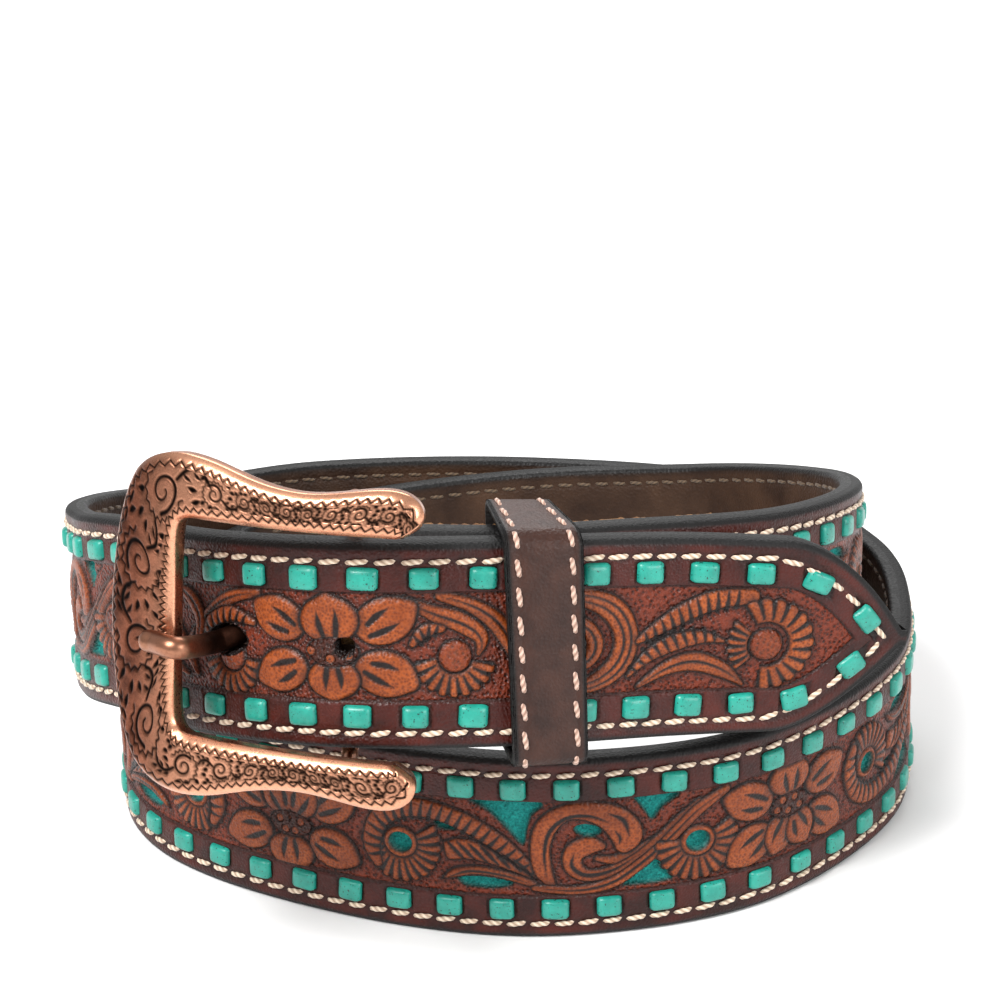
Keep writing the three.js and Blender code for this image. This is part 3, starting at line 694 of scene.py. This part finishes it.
def across_lines(step):
    """Places across the outer face, with the drop of each at the rounded edge."""
    field = np.arange(-FIELD - 0.15, FIELD + 0.2, step)
    corner = np.radians([0, 22, 45, 68, 90])
    turn = [(HALF - ROUND + ROUND * math.sin(a), ROUND * (1 - math.cos(a))) for a in corner]
    margin = [(m, 0) for m in reversed(MARGIN)]
    right = margin + turn + [(HALF, THICK / 2)]
    left = [(-v, drop) for v, drop in reversed(right)]
    return np.array(left + [(v, 0) for v in field] + right)


def edge_distance(along, across):
    slope = np.gradient(half_width(MARKS), MARKS)
    return ((half_width(along) - np.abs(across))
            / np.sqrt(1 + np.interp(along, MARKS, slope) ** 2))


def lace_places(side):
    """Where the lace squares stand; the upper row is a little further along."""
    first = math.ceil((5 - FLOWER_AT) / PITCH)
    last = math.floor((LENGTH - 0.35 * TIP_LENGTH - FLOWER_AT) / PITCH)
    at = FLOWER_AT + np.arange(first, last + 1) * PITCH
    late = np.where(at > BILLET_FROM - 30, LACE_LATE[1], LACE_LATE[0]) if side > 0 else 0
    return at + late - LACE_EARLY


def lace_across(along, side):
    return side * np.minimum(HALF - LACE_AT, half_width(along) - LACE_AT)


def near_lace(along, across):
    """How far a place lies inside the lace's slots."""
    dark = np.zeros(np.broadcast(along, across).shape)
    for side in (1, -1):
        at = lace_places(side)
        off = along - at[np.argmin(np.abs(along[:, :1] - at), axis=1)][:, None]
        aside = np.abs(across - lace_across(along, side))
        reach = np.maximum(np.abs(off) - LACE_SIZE[0] / 2 - 0.35, aside - LACE_SIZE[1] / 2 - 0.05)
        dark = np.maximum(dark, within(reach, 0.12))
    return dark


# How deep the outer face's forms lie, and how far raised ones come back up.
RELIEF = {"raised": 0.75, "ground": 0.55, "cut": 0.22, "rim": 0.3, "suede": 1.9, "seam": 0.3, "slot": 0.45}
# Each hole's place along the strap and half its length.
HOLES = [(LENGTH - PRONG_HOLE, HOLE_RADIUS * HOLE_STRETCH), (LENGTH - PRONG_HOLE + HOLE_SPACING, 1.7)]


def in_holes(along, across):
    """Less than 1 inside one of the billet's holes."""
    best = np.full(np.broadcast(along, across).shape, 9.0)
    for at, long in HOLES:
        high = min(long, HOLE_RADIUS)
        best = np.minimum(best, np.hypot((along - at) / long, across / high))
    return best


def with_ends(s, low, high):
    """The same places with both ends said twice more, and how far each is drawn in."""
    before, after = [1, 0.3] if low else [], [0.4, 1] if high else []
    drop = np.concatenate([before, np.zeros(len(s)), after])
    return np.concatenate([[0] * len(before), s, [LENGTH] * len(after)]), drop[:, None]


def drawn_in(out, drop):
    return out * (1 - drop) - THICK / 2 * drop


def strap_faces(name, start, end, step, material, replaces=()):
    """The tooled face between two distances along the strap."""
    s = np.linspace(start, end, int(round((end - start) / step)) + 1)
    s, drop = with_ends(s, start == 0, end == LENGTH)
    lines = across_lines(step if step == FINE else 0.45)
    along = np.repeat(s[:, None], len(lines), axis=1)
    narrow = half_width(s)[:, None] / HALF
    across = lines[None, :, 0] * narrow
    inset = edge_distance(along, across)
    found = tooling(along, across)
    inside = within(BORDER - inset, 0.08)
    rim = ridge(inset - BORDER, 0.22)
    slots = near_lace(along, across) * (inset > 2.5)
    seam = ridge(inset - STITCH_AT, 0.75)
    height = (inside * (RELIEF["raised"] * found["height"] - RELIEF["ground"]
                        - RELIEF["cut"] * found["cut"]) - RELIEF["rim"] * rim)
    height = height * (1 - found["open"] * inside) - RELIEF["suede"] * found["open"] * inside
    height = height - RELIEF["seam"] * seam - RELIEF["slot"] * slots
    hole = in_holes(along, across)
    height = np.where(hole < 1.05, -THICK / 2, height)
    out = np.maximum(height - lines[None, :, 1] * np.maximum(narrow, 0.25), -THICK / 2)
    out = drawn_in(out, drop)
    edge = np.maximum(within(inset - 1.15, 0.12), drop)
    # The lace's slots are darkened: painted shade where the lace goes down into the leather.
    dark = np.maximum.reduce([found["cut"] * inside, 0.9 * rim, 0.85 * slots, 0.5 * seam])
    dark = np.maximum(dark, hole < 1.15)
    points = bend(along, across, out)
    faces = net(len(s), len(lines))
    faces = faces[hole.ravel()[faces].mean(axis=1) > 0.92]
    masks = {"raised": found["raised"] * inside, "cut": dark, "open": found["open"] * inside,
             "border": 1 - inside, "edge": edge}
    return piece(name, points, faces, material, masks, replaces)


def strap_inside(name, material):
    """The lining with the inner half of the edge."""
    s, drop = with_ends(np.linspace(0, LENGTH, int(LENGTH / 1.6)), True, True)
    corner = np.radians([90, 68, 45, 22, 0])
    turn = [(HALF, THICK / 2)] + [(HALF - 1 + math.sin(a), 1 - math.cos(a)) for a in corner]
    flat = [(v, 0) for v in (17, 16.5, 15.8, 15.1, 14, 12, 9, 6, 4, 2.6, 1.4, 0)]
    right = turn + flat
    lines = np.array(right + [(-v, deep) for v, deep in reversed(right[:-1])])
    along = np.repeat(s[:, None], len(lines), axis=1)
    narrow = half_width(s)[:, None] / HALF
    across = lines[None, :, 0] * narrow
    inset = edge_distance(along, across)
    depth = lines[None, :, 1] * np.maximum(narrow, 0.25) + 0.25 * ridge(inset - STITCH_AT, 0.7)
    out = drawn_in(-THICK + np.minimum(depth, THICK / 2), drop)
    edge = np.maximum(within(inset - 1, 0.15), drop)
    faces = net(len(s), len(lines))
    faces = faces[in_holes(along, across).ravel()[faces].mean(axis=1) > 0.95]
    return piece(name, bend(along, across, out), faces, material, {"edge": edge},
                 ("strap_lining",))


def seam_line(inset):
    """The stitch line's course over the flat strap: along, across, round the tip and back."""
    tip = LENGTH - 1.5 * inset
    s = np.concatenate([np.arange(3, LENGTH - TIP_LENGTH - 4, 2),
                        np.linspace(LENGTH - TIP_LENGTH - 3, tip, 160)])
    share = np.clip((tip - s) / (TIP_LENGTH - 1.2), 0, 1)
    v = (HALF - inset) * (1 - (1 - share) ** 1.7)
    return np.concatenate([np.stack([s, -v], 1), np.stack([s, v], 1)[::-1]])


def stitches(name, line, base, material, size=(3.9, 0.5), pitch=4.7, face=1, place=bend,
             slant=0.09):
    """Twisted stitches along a course on the flat strap."""
    course = run_length(line)
    at = np.arange(pitch / 2, course[-1], pitch)
    centre = spread(at, course, line)
    ahead = unit(spread(at + 0.8, course, line) - spread(at - 0.8, course, line))
    aside = beside(ahead)
    rng = np.random.default_rng(5)
    tilt = slant + rng.normal(0, 0.03, len(at))
    heading = ahead * np.cos(tilt)[:, None] + aside * np.sin(tilt)[:, None]
    aside = beside(heading)
    t = np.linspace(-1, 1, 11)
    angle = np.linspace(0, 2 * np.pi, 8, endpoint=False)
    reach = size[0] / 2 * (1 + rng.normal(0, 0.04, len(at)))
    round_off = np.sqrt(np.maximum(1 - np.abs(t) ** 3.2, 0.004))
    twist = np.cos(2 * angle[None, :] - 8.5 * t[:, None])
    radius = size[1] * round_off[:, None] * (1 + 0.13 * twist)
    side = radius * np.cos(angle)
    rise = radius * np.sin(angle) * 0.85 - 0.28 * t[:, None] ** 4
    flat = (centre[:, None, None, :]
            + heading[:, None, None, :] * (reach[:, None, None] * t[None, :, None])[..., None]
            + aside[:, None, None, :] * side[None, :, :, None])
    points = place(flat[..., 0], flat[..., 1], base + face * rise[None])
    # The twist mask also carries the thread's painted highlight and shade.
    masks = {"twist": np.broadcast_to(0.5 + 0.5 * twist, points.shape[:-1])}
    return piece(name, points, net(len(t), len(angle), True, len(at)), material, masks)


def lace(name, side, material, node):
    """One row of lace squares, each a strip that comes up out of a slot and goes down again."""
    at = lace_places(side)
    at = at[at < LENGTH - 0.3 * TIP_LENGTH]
    t = np.array([-1, -0.97, -0.9, -0.75, -0.5, -0.2, 0.2, 0.5, 0.75, 0.9, 0.97, 1])
    long, wide = LACE_SIZE[0] / 2, LACE_SIZE[1] / 2
    rng = np.random.default_rng(3 + side)
    shape = 1 + rng.normal(0, 0.035, (len(at), 3))
    clip = 1 - 0.24 * np.clip((np.abs(t) - 0.6) / 0.4, 0, 1) ** 2.4
    s = t[None, :, None] * long * shape[:, :1, None]
    v = t[None, None, :] * wide * clip[None, :, None] * shape[:, 1:2, None]
    dome = (1 - np.abs(t[:, None]) ** 5) * (1 - np.abs(t[None, :]) ** 9)
    high = -0.35 + (0.95 + 0.35) * dome ** 0.5 * (1 - 0.1 * t[None, :] ** 2)
    # Near the tip a square turns with the edge.
    slope = (lace_across(at + 2, side) - lace_across(at - 2, side)) / 4
    turn = np.arctan(slope)[:, None, None] + rng.normal(0, 0.03, len(at))[:, None, None]
    along = at[:, None, None] + s * np.cos(turn) - v * np.sin(turn)
    across = lace_across(at, side)[:, None, None] + s * np.sin(turn) + v * np.cos(turn)
    points = bend(along, across, high[None] * shape[:, 2:, None])
    return piece(name, points, net(len(t), len(t), False, len(at)), material, None, (node,))


# The keeper: a leather loop round the billet and what lies behind it.
KEEPER = {"width": 14, "wall": 1.8, "slack": 1.8, "at": 71.5, "over": 3, "slant": -0.06, "seam": 2.2}
CHAPE = {"length": 72, "thick": 1.4}
LACE_PROUD = 0.95
GAP = 0.3
BAR_RADIUS = 1.6


def keeper_frame():
    """The keeper's place along the billet and its section: front, back and half height."""
    at = LENGTH - KEEPER["at"]
    here = spread(at, ALONG, PLACES)
    early = PLACES[ALONG < 120]
    behind = ALONG[np.argmin(np.linalg.norm(early - here, axis=1))]
    depth = (np.linalg.norm(bend(at, 0, 0) - bend(behind, 0, -THICK)) / MM + CHAPE["thick"]
             + KEEPER["slack"])
    front = LACE_PROUD + 2 * GAP + KEEPER["wall"]
    return at, front, -depth - GAP - KEEPER["wall"], HALF + KEEPER["over"]


def keeper_place(at, along, across, out):
    return bend(at + along + KEEPER["slant"] * across, across, out)


def keeper_loop(corner=3.2):
    """The keeper's loop seen along the strap: (across, out), with its outward directions."""
    at, front, back, high = keeper_frame()
    rows, directions = [], []
    centres = [(-high + corner, front - corner), (-high + corner, back + corner),
               (high - corner, back + corner), (high - corner, front - corner)]
    for (v, w), start in zip(centres, (90, 180, 270, 0)):
        for angle in np.radians(np.linspace(start, start + 90, 9)):
            directions.append((math.cos(angle), math.sin(angle)))
            rows.append((v + corner * math.cos(angle), w + corner * math.sin(angle)))
    rows, directions = np.array(rows + rows[:1]), np.array(directions + directions[:1])
    course = run_length(rows)
    even = np.linspace(0, course[-1], 200, endpoint=False)
    return spread(even, course, rows), unit(spread(even, course, directions)), at


def keeper(material, thread_material):
    rows, out, at = keeper_loop()
    half, wall = KEEPER["width"] / 2, KEEPER["wall"]
    corner = [(half - 0.7 + 0.7 * math.sin(a), 0.7 - 0.7 * math.cos(a))
              for a in np.radians([0, 30, 60, 90])]
    face = [(e, 0.25 * ridge(e - (half - KEEPER["seam"]), 0.6))
            for e in (0, 2, 3.5, 4.4, 5, 5.3, 5.6, 5.9, 6.2, 6.8)]
    right = face + corner + [(half, wall - 0.4), (half - 0.4, wall)]
    section = np.array(right + [(-e, d) for e, d in reversed(right)][:-1])
    along = np.broadcast_to(section[None, :, 0], (len(rows), len(section)))
    flat = rows[:, None, :] - out[:, None, :] * section[None, :, 1:]
    points = keeper_place(at, along, flat[..., 0], flat[..., 1])
    points = np.concatenate([points, points[:1]])
    edge = within(half - 1 - np.abs(along), 0.12)
    edge = np.concatenate([edge, edge[:1]])
    piece("keeper_loop", points, net(len(points), len(section), True), material,
          {"edge": edge}, ("keeper",))
    closed, facing = np.vstack([rows, rows[:1]]), np.vstack([out, out[:1]])
    course = run_length(closed)
    for k, side in enumerate((-1, 1)):
        line = np.stack([np.linspace(0, course[-1], 300), np.full(300, side * (half - KEEPER["seam"]))], 1)

        def place(run, e, rise):
            run = np.clip(run, 0, course[-1])
            flat_at = spread(run, course, closed) + spread(run, course, facing) * rise[..., None]
            return keeper_place(at, e, flat_at[..., 0], flat_at[..., 1])

        stitches(f"keeper_stitches_{k}", line, -0.05, thread_material, (3.7, 0.48), 5.3,
                 place=place, slant=0.12)


# The fold round the bar: its radius, and the bar's middle out from the strap's face.
FOLD = BAR_RADIUS + GAP + CHAPE["thick"] / 2
BAR_OUT = -THICK - GAP - CHAPE["thick"] / 2 + FOLD


def chape(material):
    """The folded end: inside the strap, round the buckle's bar and back to the strap's end."""
    legs = [(s, BAR_OUT - FOLD) for s in np.linspace(CHAPE["length"], 0, 90)]
    arc = [(FOLD * (math.cos(a) - 1), BAR_OUT + FOLD * math.sin(a))
           for a in np.pi * (1.5 - np.linspace(0, 1, 17)[1:])]
    line = np.array(legs + arc + [(-GAP, BAR_OUT + FOLD)])
    ahead = unit(np.gradient(line, axis=0))
    normal = beside(ahead) * CHAPE["thick"] / 2
    half = HALF - 0.8
    up = np.array([-1, -0.97, -0.8, -0.4, 0, 0.4, 0.8, 0.97, 1]) * half
    section = [(-0.7, up[0])] + [(-1, v) for v in up[1:-1]] + [(-0.7, up[-1]), (0.7, up[-1])]
    section = np.array(section + [(1, v) for v in up[-2:0:-1]] + [(0.7, up[0])])
    frayed = np.random.default_rng(8).normal(0, 0.12, (len(line), len(section)))
    across = section[None, :, 1] + frayed
    flat = line[:, None, :] + normal[:, None, :] * section[None, :, :1]
    points = bend(flat[..., 0], across, flat[..., 1])
    return piece("chape_flesh", points, net(len(line), len(section), True), material, None,
                 ("chape_fold",))


# The buckle's frame, in its own plane: x along, y up, z out, bent round an upright axis.
BUCKLE = {"length": 63, "height": 64, "thick": 4.6, "bevel": 1.1}
BUCKLE_POSE = {"side": -45, "depth": -77.6, "rise": 72.5, "yaw": -24, "lean": -11}
BUCKLE_CURVE = 95
WINDOW = {"left": 15.5, "height": 40.5}
# Outer outline of the upper half: a curve's two handles and its end, as shares.
OUTLINE = [
    (0, 0), (0.005, 0.3), (0.03, 0.68), (0.1, 0.86), (0.15, 0.97), (0.23, 1.01), (0.31, 0.99),
    (0.42, 0.97), (0.48, 0.88), (0.62, 0.86), (0.75, 0.84), (0.86, 0.95), (0.94, 0.9),
    (1.0, 0.86), (1.01, 0.74), (0.97, 0.69),
]


# The window's edge along the arm, as shares of the length, and its rise in millimetres.
ARM_INSIDE = [
    (0.55, 0.1), (0.62, 0.15), (0.7, 0.2), (0.8, 0.3), (0.9, 0.35), (0.91, 0.38), (0.92, 0.4),
    (0.935, 0.4),
]
BAND_STEPS = (110, 70, 75, 75, 26)  # for each of the outline's curves


def buckle_point(x, y, z):
    angle = x / BUCKLE_CURVE
    radius = BUCKLE_CURVE + z
    flat = np.stack([radius * np.sin(angle), y, radius * np.cos(angle) - BUCKLE_CURVE], axis=-1)
    turn = (Matrix.Rotation(math.radians(BUCKLE_POSE["yaw"]), 3, "Z")
            @ Matrix.Rotation(math.pi / 2 + math.radians(BUCKLE_POSE["lean"]), 3, "X"))
    place = np.array([BUCKLE_POSE["side"], BUCKLE_POSE["depth"], BUCKLE_POSE["rise"]])
    return (flat @ np.array(turn).T + place + SHIFT) * MM


def bezier(points, count):
    t = np.linspace(0, 1, count, endpoint=False)[:, None]
    a, b, c, d = (np.array(p, float) for p in points)
    return a * (1 - t) ** 3 + 3 * b * t * (1 - t) ** 2 + 3 * c * t**2 * (1 - t) + d * t**3


def buckle_band():
    """Pairs of places on the outer and the inner outline, from the left middle to the arm's end."""
    length, half = BUCKLE["length"], BUCKLE["height"] / 2
    size = np.array([length, half])
    outer_keys = (np.array(OUTLINE) - [0.5, 0]) * size
    left, inside = WINDOW["left"] - length / 2, WINDOW["height"] / 2
    inner_keys = [(left, 0), (left, 5), (left, 9), (left, 13.5),
                  (left, 18.5), (left + 0.6, inside - 0.2), (left + 4, inside), (left + 8, inside)]
    inner_keys += [((share - 0.5) * length, inside + more) for share, more in ARM_INSIDE]
    outer, inner = (
        np.vstack([bezier(keys[3 * k:3 * k + 4], count) for k, count in enumerate(BAND_STEPS)] + [keys[-1:]])
        for keys in (outer_keys, np.array(inner_keys)))
    flip = np.array([1, -1])
    return np.vstack([(outer * flip)[:0:-1], outer]), np.vstack([(inner * flip)[:0:-1], inner])


CUT_STEM = [(2.6, -1, 0.2), (4.6, -2.6, 0.26), (6.6, -2.2, 0.24), (8, -0.4, 0.1)]
# x, y from the scroll's middle, turn
CUT_LEAVES = [
    (4.4, 3.2, -40), (5.6, 1.6, -20), (5, 0, 10), (-1, -4, 20), (1.2, -4.1, -10), (-3.4, -3.2, 50),
    (5.4, 4.1, 0), (3.4, 4.2, 15), (-3.8, 3.6, 30),
]


def engraving(course, room):
    """Leafy scrolls cut in metal along a strip, as large as its width leaves room for."""
    d = Drawing(course[-1], 8)
    x, over = 1.5, 1
    turns = np.linspace(0, 1, 15)
    while x < course[-1] - 2:
        size = np.interp(x + 4, course, room) / 3.7
        middle = x + 5.2 * size

        def at(dx, dy, wide):
            return middle + dx * size, over * dy * size, wide * (1.05 + 0.5 * size)

        def around(radius, angle, wide):
            return at(radius * math.cos(angle), radius * math.sin(angle), wide)

        d.groove([around(0.5 + 2.3 * k, 8.6 * k, 0.13 + 0.12 * k) for k in turns], 3)
        d.groove([around(3.55 + 0.28 * (-1) ** k, 0.5 + 0.19 * k, 0.13) for k in range(25)], 2)
        d.groove([at(*row) for row in CUT_STEM], 5)
        for k in range(3):
            u, v = 3.6 + 1.5 * k, -2.2 - 0.5 * math.sin(1.3 * k)
            for lift in (1, -1):
                d.groove([at(u, v + 0.4 * lift, 0.08), at(u + 0.5, v + 0.95 * lift, 0.24),
                          at(u + 1.2, v + 1.35 * lift, 0.05)], 3)
        for u, v, turn in CUT_LEAVES:
            c, e = math.cos(math.radians(turn)) * 0.75, math.sin(math.radians(turn)) * 0.75
            d.groove([at(u - c, v - e, 0.08), at(u, v + 0.15, 0.34), at(u + c, v + e, 0.06)], 3)
        x, over = x + 11 * size, -over
    return d


ZIGZAG = {"pitch": 1.9, "high": 0.5, "inset": 1.8, "half": 0.27}


def buckle(material):
    outer, inner = buckle_band()
    middle = (outer + inner) / 2
    course = run_length(middle)
    width = np.linalg.norm(outer - inner, axis=1)
    room = np.maximum(width / 2 - 2.7, 1.3)
    drawing = engraving(course, room)
    share = np.linspace(0, 1, 60)
    across = share[None, :] * width[:, None]
    rim = np.minimum(across, width[:, None] - across)
    top, back = BUCKLE["thick"] - BUCKLE["bevel"], -BUCKLE["bevel"]
    z = top - 1.5 * (1 - np.minimum(rim / 2.4, 1)) ** 2
    # The two long ends slope off.
    run = np.minimum(course, course[-1] - course)[:, None]
    z = z - 1.3 * (1 - np.minimum(run / 2, 1)) ** 2
    along = np.repeat(course[:, None], len(share), axis=1)
    y = across - width[:, None] / 2
    cut = drawing.read("cut", along, y) * (np.abs(y) < room[:, None] + 0.2)
    wave = ZIGZAG["high"] * (2 * np.abs(2 * ((along / ZIGZAG["pitch"]) % 1) - 1) - 1)
    zigzag = within(np.abs(rim - ZIGZAG["inset"] - wave) - ZIGZAG["half"], 0.05)
    cut = np.maximum(cut, zigzag) * (run > 1.2)
    z = z - 0.2 * cut
    flat_x = outer[:, :1] + (inner - outer)[:, :1] * share[None, :]
    arms = np.clip((flat_x + 24) / 16, 0, 1)
    on_inside = within(width[:, None] - across - 2, 0.2)
    # Bright copper on the rims, strongest on the arms and along the window, is wear; the extra brightness
    # over the whole arms is a painted reflection.
    bright = ridge(rim, 1.1) * (0.4 + 0.6 * np.maximum(arms, on_inside)) + 0.68 * arms
    # The engraved face, with rows down both sides to the back.
    sides = ([(0.035, back), (0, back + 0.9), (0, top - 2)], [(1, top - 2), (1, back + 0.9), (0.965, back)])
    shares = np.concatenate([[t for t, _ in sides[0]], share, [t for t, _ in sides[1]]])
    flat = outer[:, None, :] + (inner - outer)[:, None, :] * shares[None, :, None]

    def framed(face, before, after):
        rows = [np.broadcast_to(v, (len(course), len(v))) for v in (before, after)]
        return np.hstack([rows[0], face, rows[1]])

    z = framed(z, [level for _, level in sides[0]], [level for _, level in sides[1]])
    masks = {"cut": framed(cut, [0] * 3, [0] * 3),
             "bare_and_reflection": framed(np.minimum(bright, 1), [0.6] * 3, [0.6] * 3)}
    rows, columns = z.shape
    last = (rows - 1) * columns
    caps = [[k, k + 1, columns - 2 - k, columns - 1 - k] for k in range(columns // 2 - 1)]
    caps = np.array(caps + [[last + c for c in reversed(q)] for q in caps])
    return piece("buckle_plate", buckle_point(flat[..., 0], flat[..., 1], z),
                 np.vstack([net(rows, columns, True), caps]), material, masks, ("buckle_frame",))


BAR = {"high": 24.5, "reach": 10.6}
# Places on the buckle are from the frame's left end.
PRONG = {"radius": 2.1, "behind": 14, "tip": 11.5, "rest": 14.5, "crest": 20, "low": -2.8}


def rod(name, line, radius, material, node, shade_along=None):
    """A round rod on a smooth course, with domed ends."""
    rows = smooth_rows(np.array(line) / MM, 12)
    course = run_length(rows)
    even = np.concatenate([[0, 0.15, 0.5, 1.1], np.linspace(1.8, course[-1] - 1.8, 90),
                           course[-1] - np.array([1.1, 0.5, 0.15, 0])])
    centre = spread(even, course, rows)
    ahead = unit(np.gradient(centre, even, axis=0))
    side = unit(np.cross(ahead, [0, 0, 1]) + 1e-6)
    over = np.cross(side, ahead)
    end = np.minimum(np.minimum(even, course[-1] - even) / 1.8, 1)
    size = radius * np.sqrt(np.maximum(1 - (1 - end) ** 2, 0.0004))
    angle = np.linspace(0, 2 * np.pi, 28, endpoint=False)
    ring = (side[:, None] * np.cos(angle)[None, :, None] + over[:, None] * np.sin(angle)[None, :, None])
    points = (centre[:, None] + ring * size[:, None, None]) * MM
    # The profile darkens the rod along its length: painted shade.
    dark = np.interp(even / course[-1], *shade_along)[:, None] + 0 * angle if shade_along else 0 * ring[..., 0]
    return piece(name, points, net(len(even), len(angle), True), material,
                 {"cut": dark, "bare_and_reflection": 0.45 * (1 - dark)}, (node,))


def buckle_bar(material):
    """The bar stands in the fold and reaches forward to the frame's two arms."""
    high, reach = BAR["high"], BAR["reach"]
    straight = high - BAR_RADIUS
    half = [(high, reach), (high, reach / 2), (high, BAR_RADIUS), (straight, 0), (straight - 1, 0)]
    line = [(-v, w) for v, w in half] + [(0, 0)] + half[::-1]
    return rod("buckle_bar_rod", [bend(-FOLD, v, BAR_OUT + w) for v, w in line], BAR_RADIUS, material,
               "buckle_bar")


def prong(material):
    """The prong lies behind the billet, leaves its hole and rests on the frame's left bar."""
    hole = LENGTH - PRONG_HOLE
    behind = -THICK - GAP - PRONG["radius"]
    rest = BUCKLE["thick"] - BUCKLE["bevel"] + GAP + PRONG["radius"]

    def on(x, lift=0.0):
        x = np.array(x - BUCKLE["length"] / 2)
        return buckle_point(x, np.array(PRONG["low"]), np.array(rest + lift))

    line = [bend(hole + PRONG["behind"], 0, behind - 1.2), bend(hole + 5, 0, behind - 1.2),
            bend(hole + 1.8, 0, behind + 1), bend(hole, 0, -THICK / 2), bend(hole - 1.6, 0, 2),
            on(PRONG["crest"], 0.5), on(PRONG["rest"], 0.2), on(PRONG["tip"])]
    # Near-black behind the billet and through its hole, fading towards the tip: painted shade.
    return rod("prong_rod", line, PRONG["radius"], material, "buckle_prong",
               ([0, 0.55, 0.68, 0.76, 1], [0.9, 0.9, 0.6, 0.15, 0.1]))


tooled = tooled_leather()
# name, where it ends along the strap, step; each begins where the last one ends
TURNS = [
    ("tooled_first_turn", 388, COARSE), ("tooled_front_left", 503, FINE),
    ("tooled_front_right", 618, FINE), ("tooled_second_turn", 975, COARSE),
    ("tooled_billet", LENGTH, FINE),
]
start = 0
for name, end, step in TURNS:
    strap_faces(name, start, end, step, tooled, () if start else ("strap_cover", "suede_inlay"))
    start = end
strap_inside("lining_sheet", plain_leather("lining_leather", ("2a1a11", "453022"), 0.25, 12, 0.7, (0.6, 0.5),
                                           0.12, (0.42, 0.62)))

cream = thread("cream_thread", "a0826a", "f4e2cb")
stitches("edge_stitches", seam_line(STITCH_AT), 0.02, cream)
dull = thread("dull_thread", "3a2b1e", "6d573f")
stitches("lining_stitches", seam_line(STITCH_AT), 0.12 - THICK, dull, (3.9, 0.4), face=-1)
turquoise = lace_leather()
lace("lace_squares_upper", 1, turquoise, "lace_upper")
lace("lace_squares_lower", -1, turquoise, "lace_lower")
keeper(plain_leather("keeper_leather", ("28150f", "3e241b"), 0.3, 5, 0.6, (0.4, 0.6), 0.1, (0.36, 0.55)),
       thread("pink_thread", "8a6654", "e0bfae"))
chape(rough_flesh())
metal = copper("antique_copper")
buckle(metal)
buckle_bar(metal)
# The prong's copper carries painted shade behind the billet.
prong(copper("prong_copper"))

# The camera, at the photograph's angle.
FOCAL = 2600  # pixels in a 1000-pixel picture
CAMERA = (0, -501.9, 268.7)
PITCH_DOWN, ROLL = math.radians(22.06), math.radians(-2.31)
SENSOR = 36
camera = add("camera", bpy.data.cameras.new("camera"))
camera.data.sensor_width = SENSOR
camera.data.lens = FOCAL / 1000 * SENSOR
camera.data.clip_start, camera.data.clip_end = 0.05, 50
forward = Vector((0, math.cos(PITCH_DOWN), -math.sin(PITCH_DOWN)))
level, over = Vector((1, 0, 0)), Vector((0, math.sin(PITCH_DOWN), math.cos(PITCH_DOWN)))
right = level * math.cos(ROLL) + over * math.sin(ROLL)
top = over * math.cos(ROLL) - level * math.sin(ROLL)
turn = Matrix((right, top, -forward)).transposed()
camera.matrix_world = Matrix.Translation((Vector(CAMERA) + Vector(SHIFT)) * MM) @ turn.to_4x4()
bpy.context.scene.camera = camera

# A plain pale floor and soft studio light.
FLOOR_REACH = 6
corners = [(FLOOR_REACH * x, FLOOR_REACH * y, 0) for x, y in ((-1, -1), (1, -1), (1, 1), (-1, 1))]
floor_mesh = bpy.data.meshes.new("floor")
floor_mesh.from_pydata(corners, [], [(0, 1, 2, 3)])
floor = add("floor", floor_mesh)
ground = Finish("pale_floor", roughness=0.8)
ground.shader.inputs["Base Color"].default_value = (0.86, 0.86, 0.86, 1)
floor_mesh.materials.append(ground.material)

world = bpy.data.worlds.new("studio")
bpy.context.scene.world = world
world.use_nodes = True
background = world.node_tree.nodes["Background"]
background.inputs["Color"].default_value = (1, 1, 1, 1)
background.inputs["Strength"].default_value = 0.55

# name, place in metres, size, power in watts
LAMPS = [
    ("key", (-0.5, -0.6, 1), 0.45, 19), ("fill", (0.8, -0.7, 0.5), 0.5, 6), ("back", (0.1, 0.9, 0.9), 0.8, 9),
]
for name, place, size, power in LAMPS:
    light = bpy.data.lights.new(name, "AREA")
    light.size, light.energy = size, power
    lamp = add(name, light)
    lamp.location = place
    lamp.rotation_euler = (Vector((0, 0, 0.05)) - Vector(place)).to_track_quat("-Z", "Y").to_euler()

bpy.context.scene.view_settings.view_transform = "Standard"
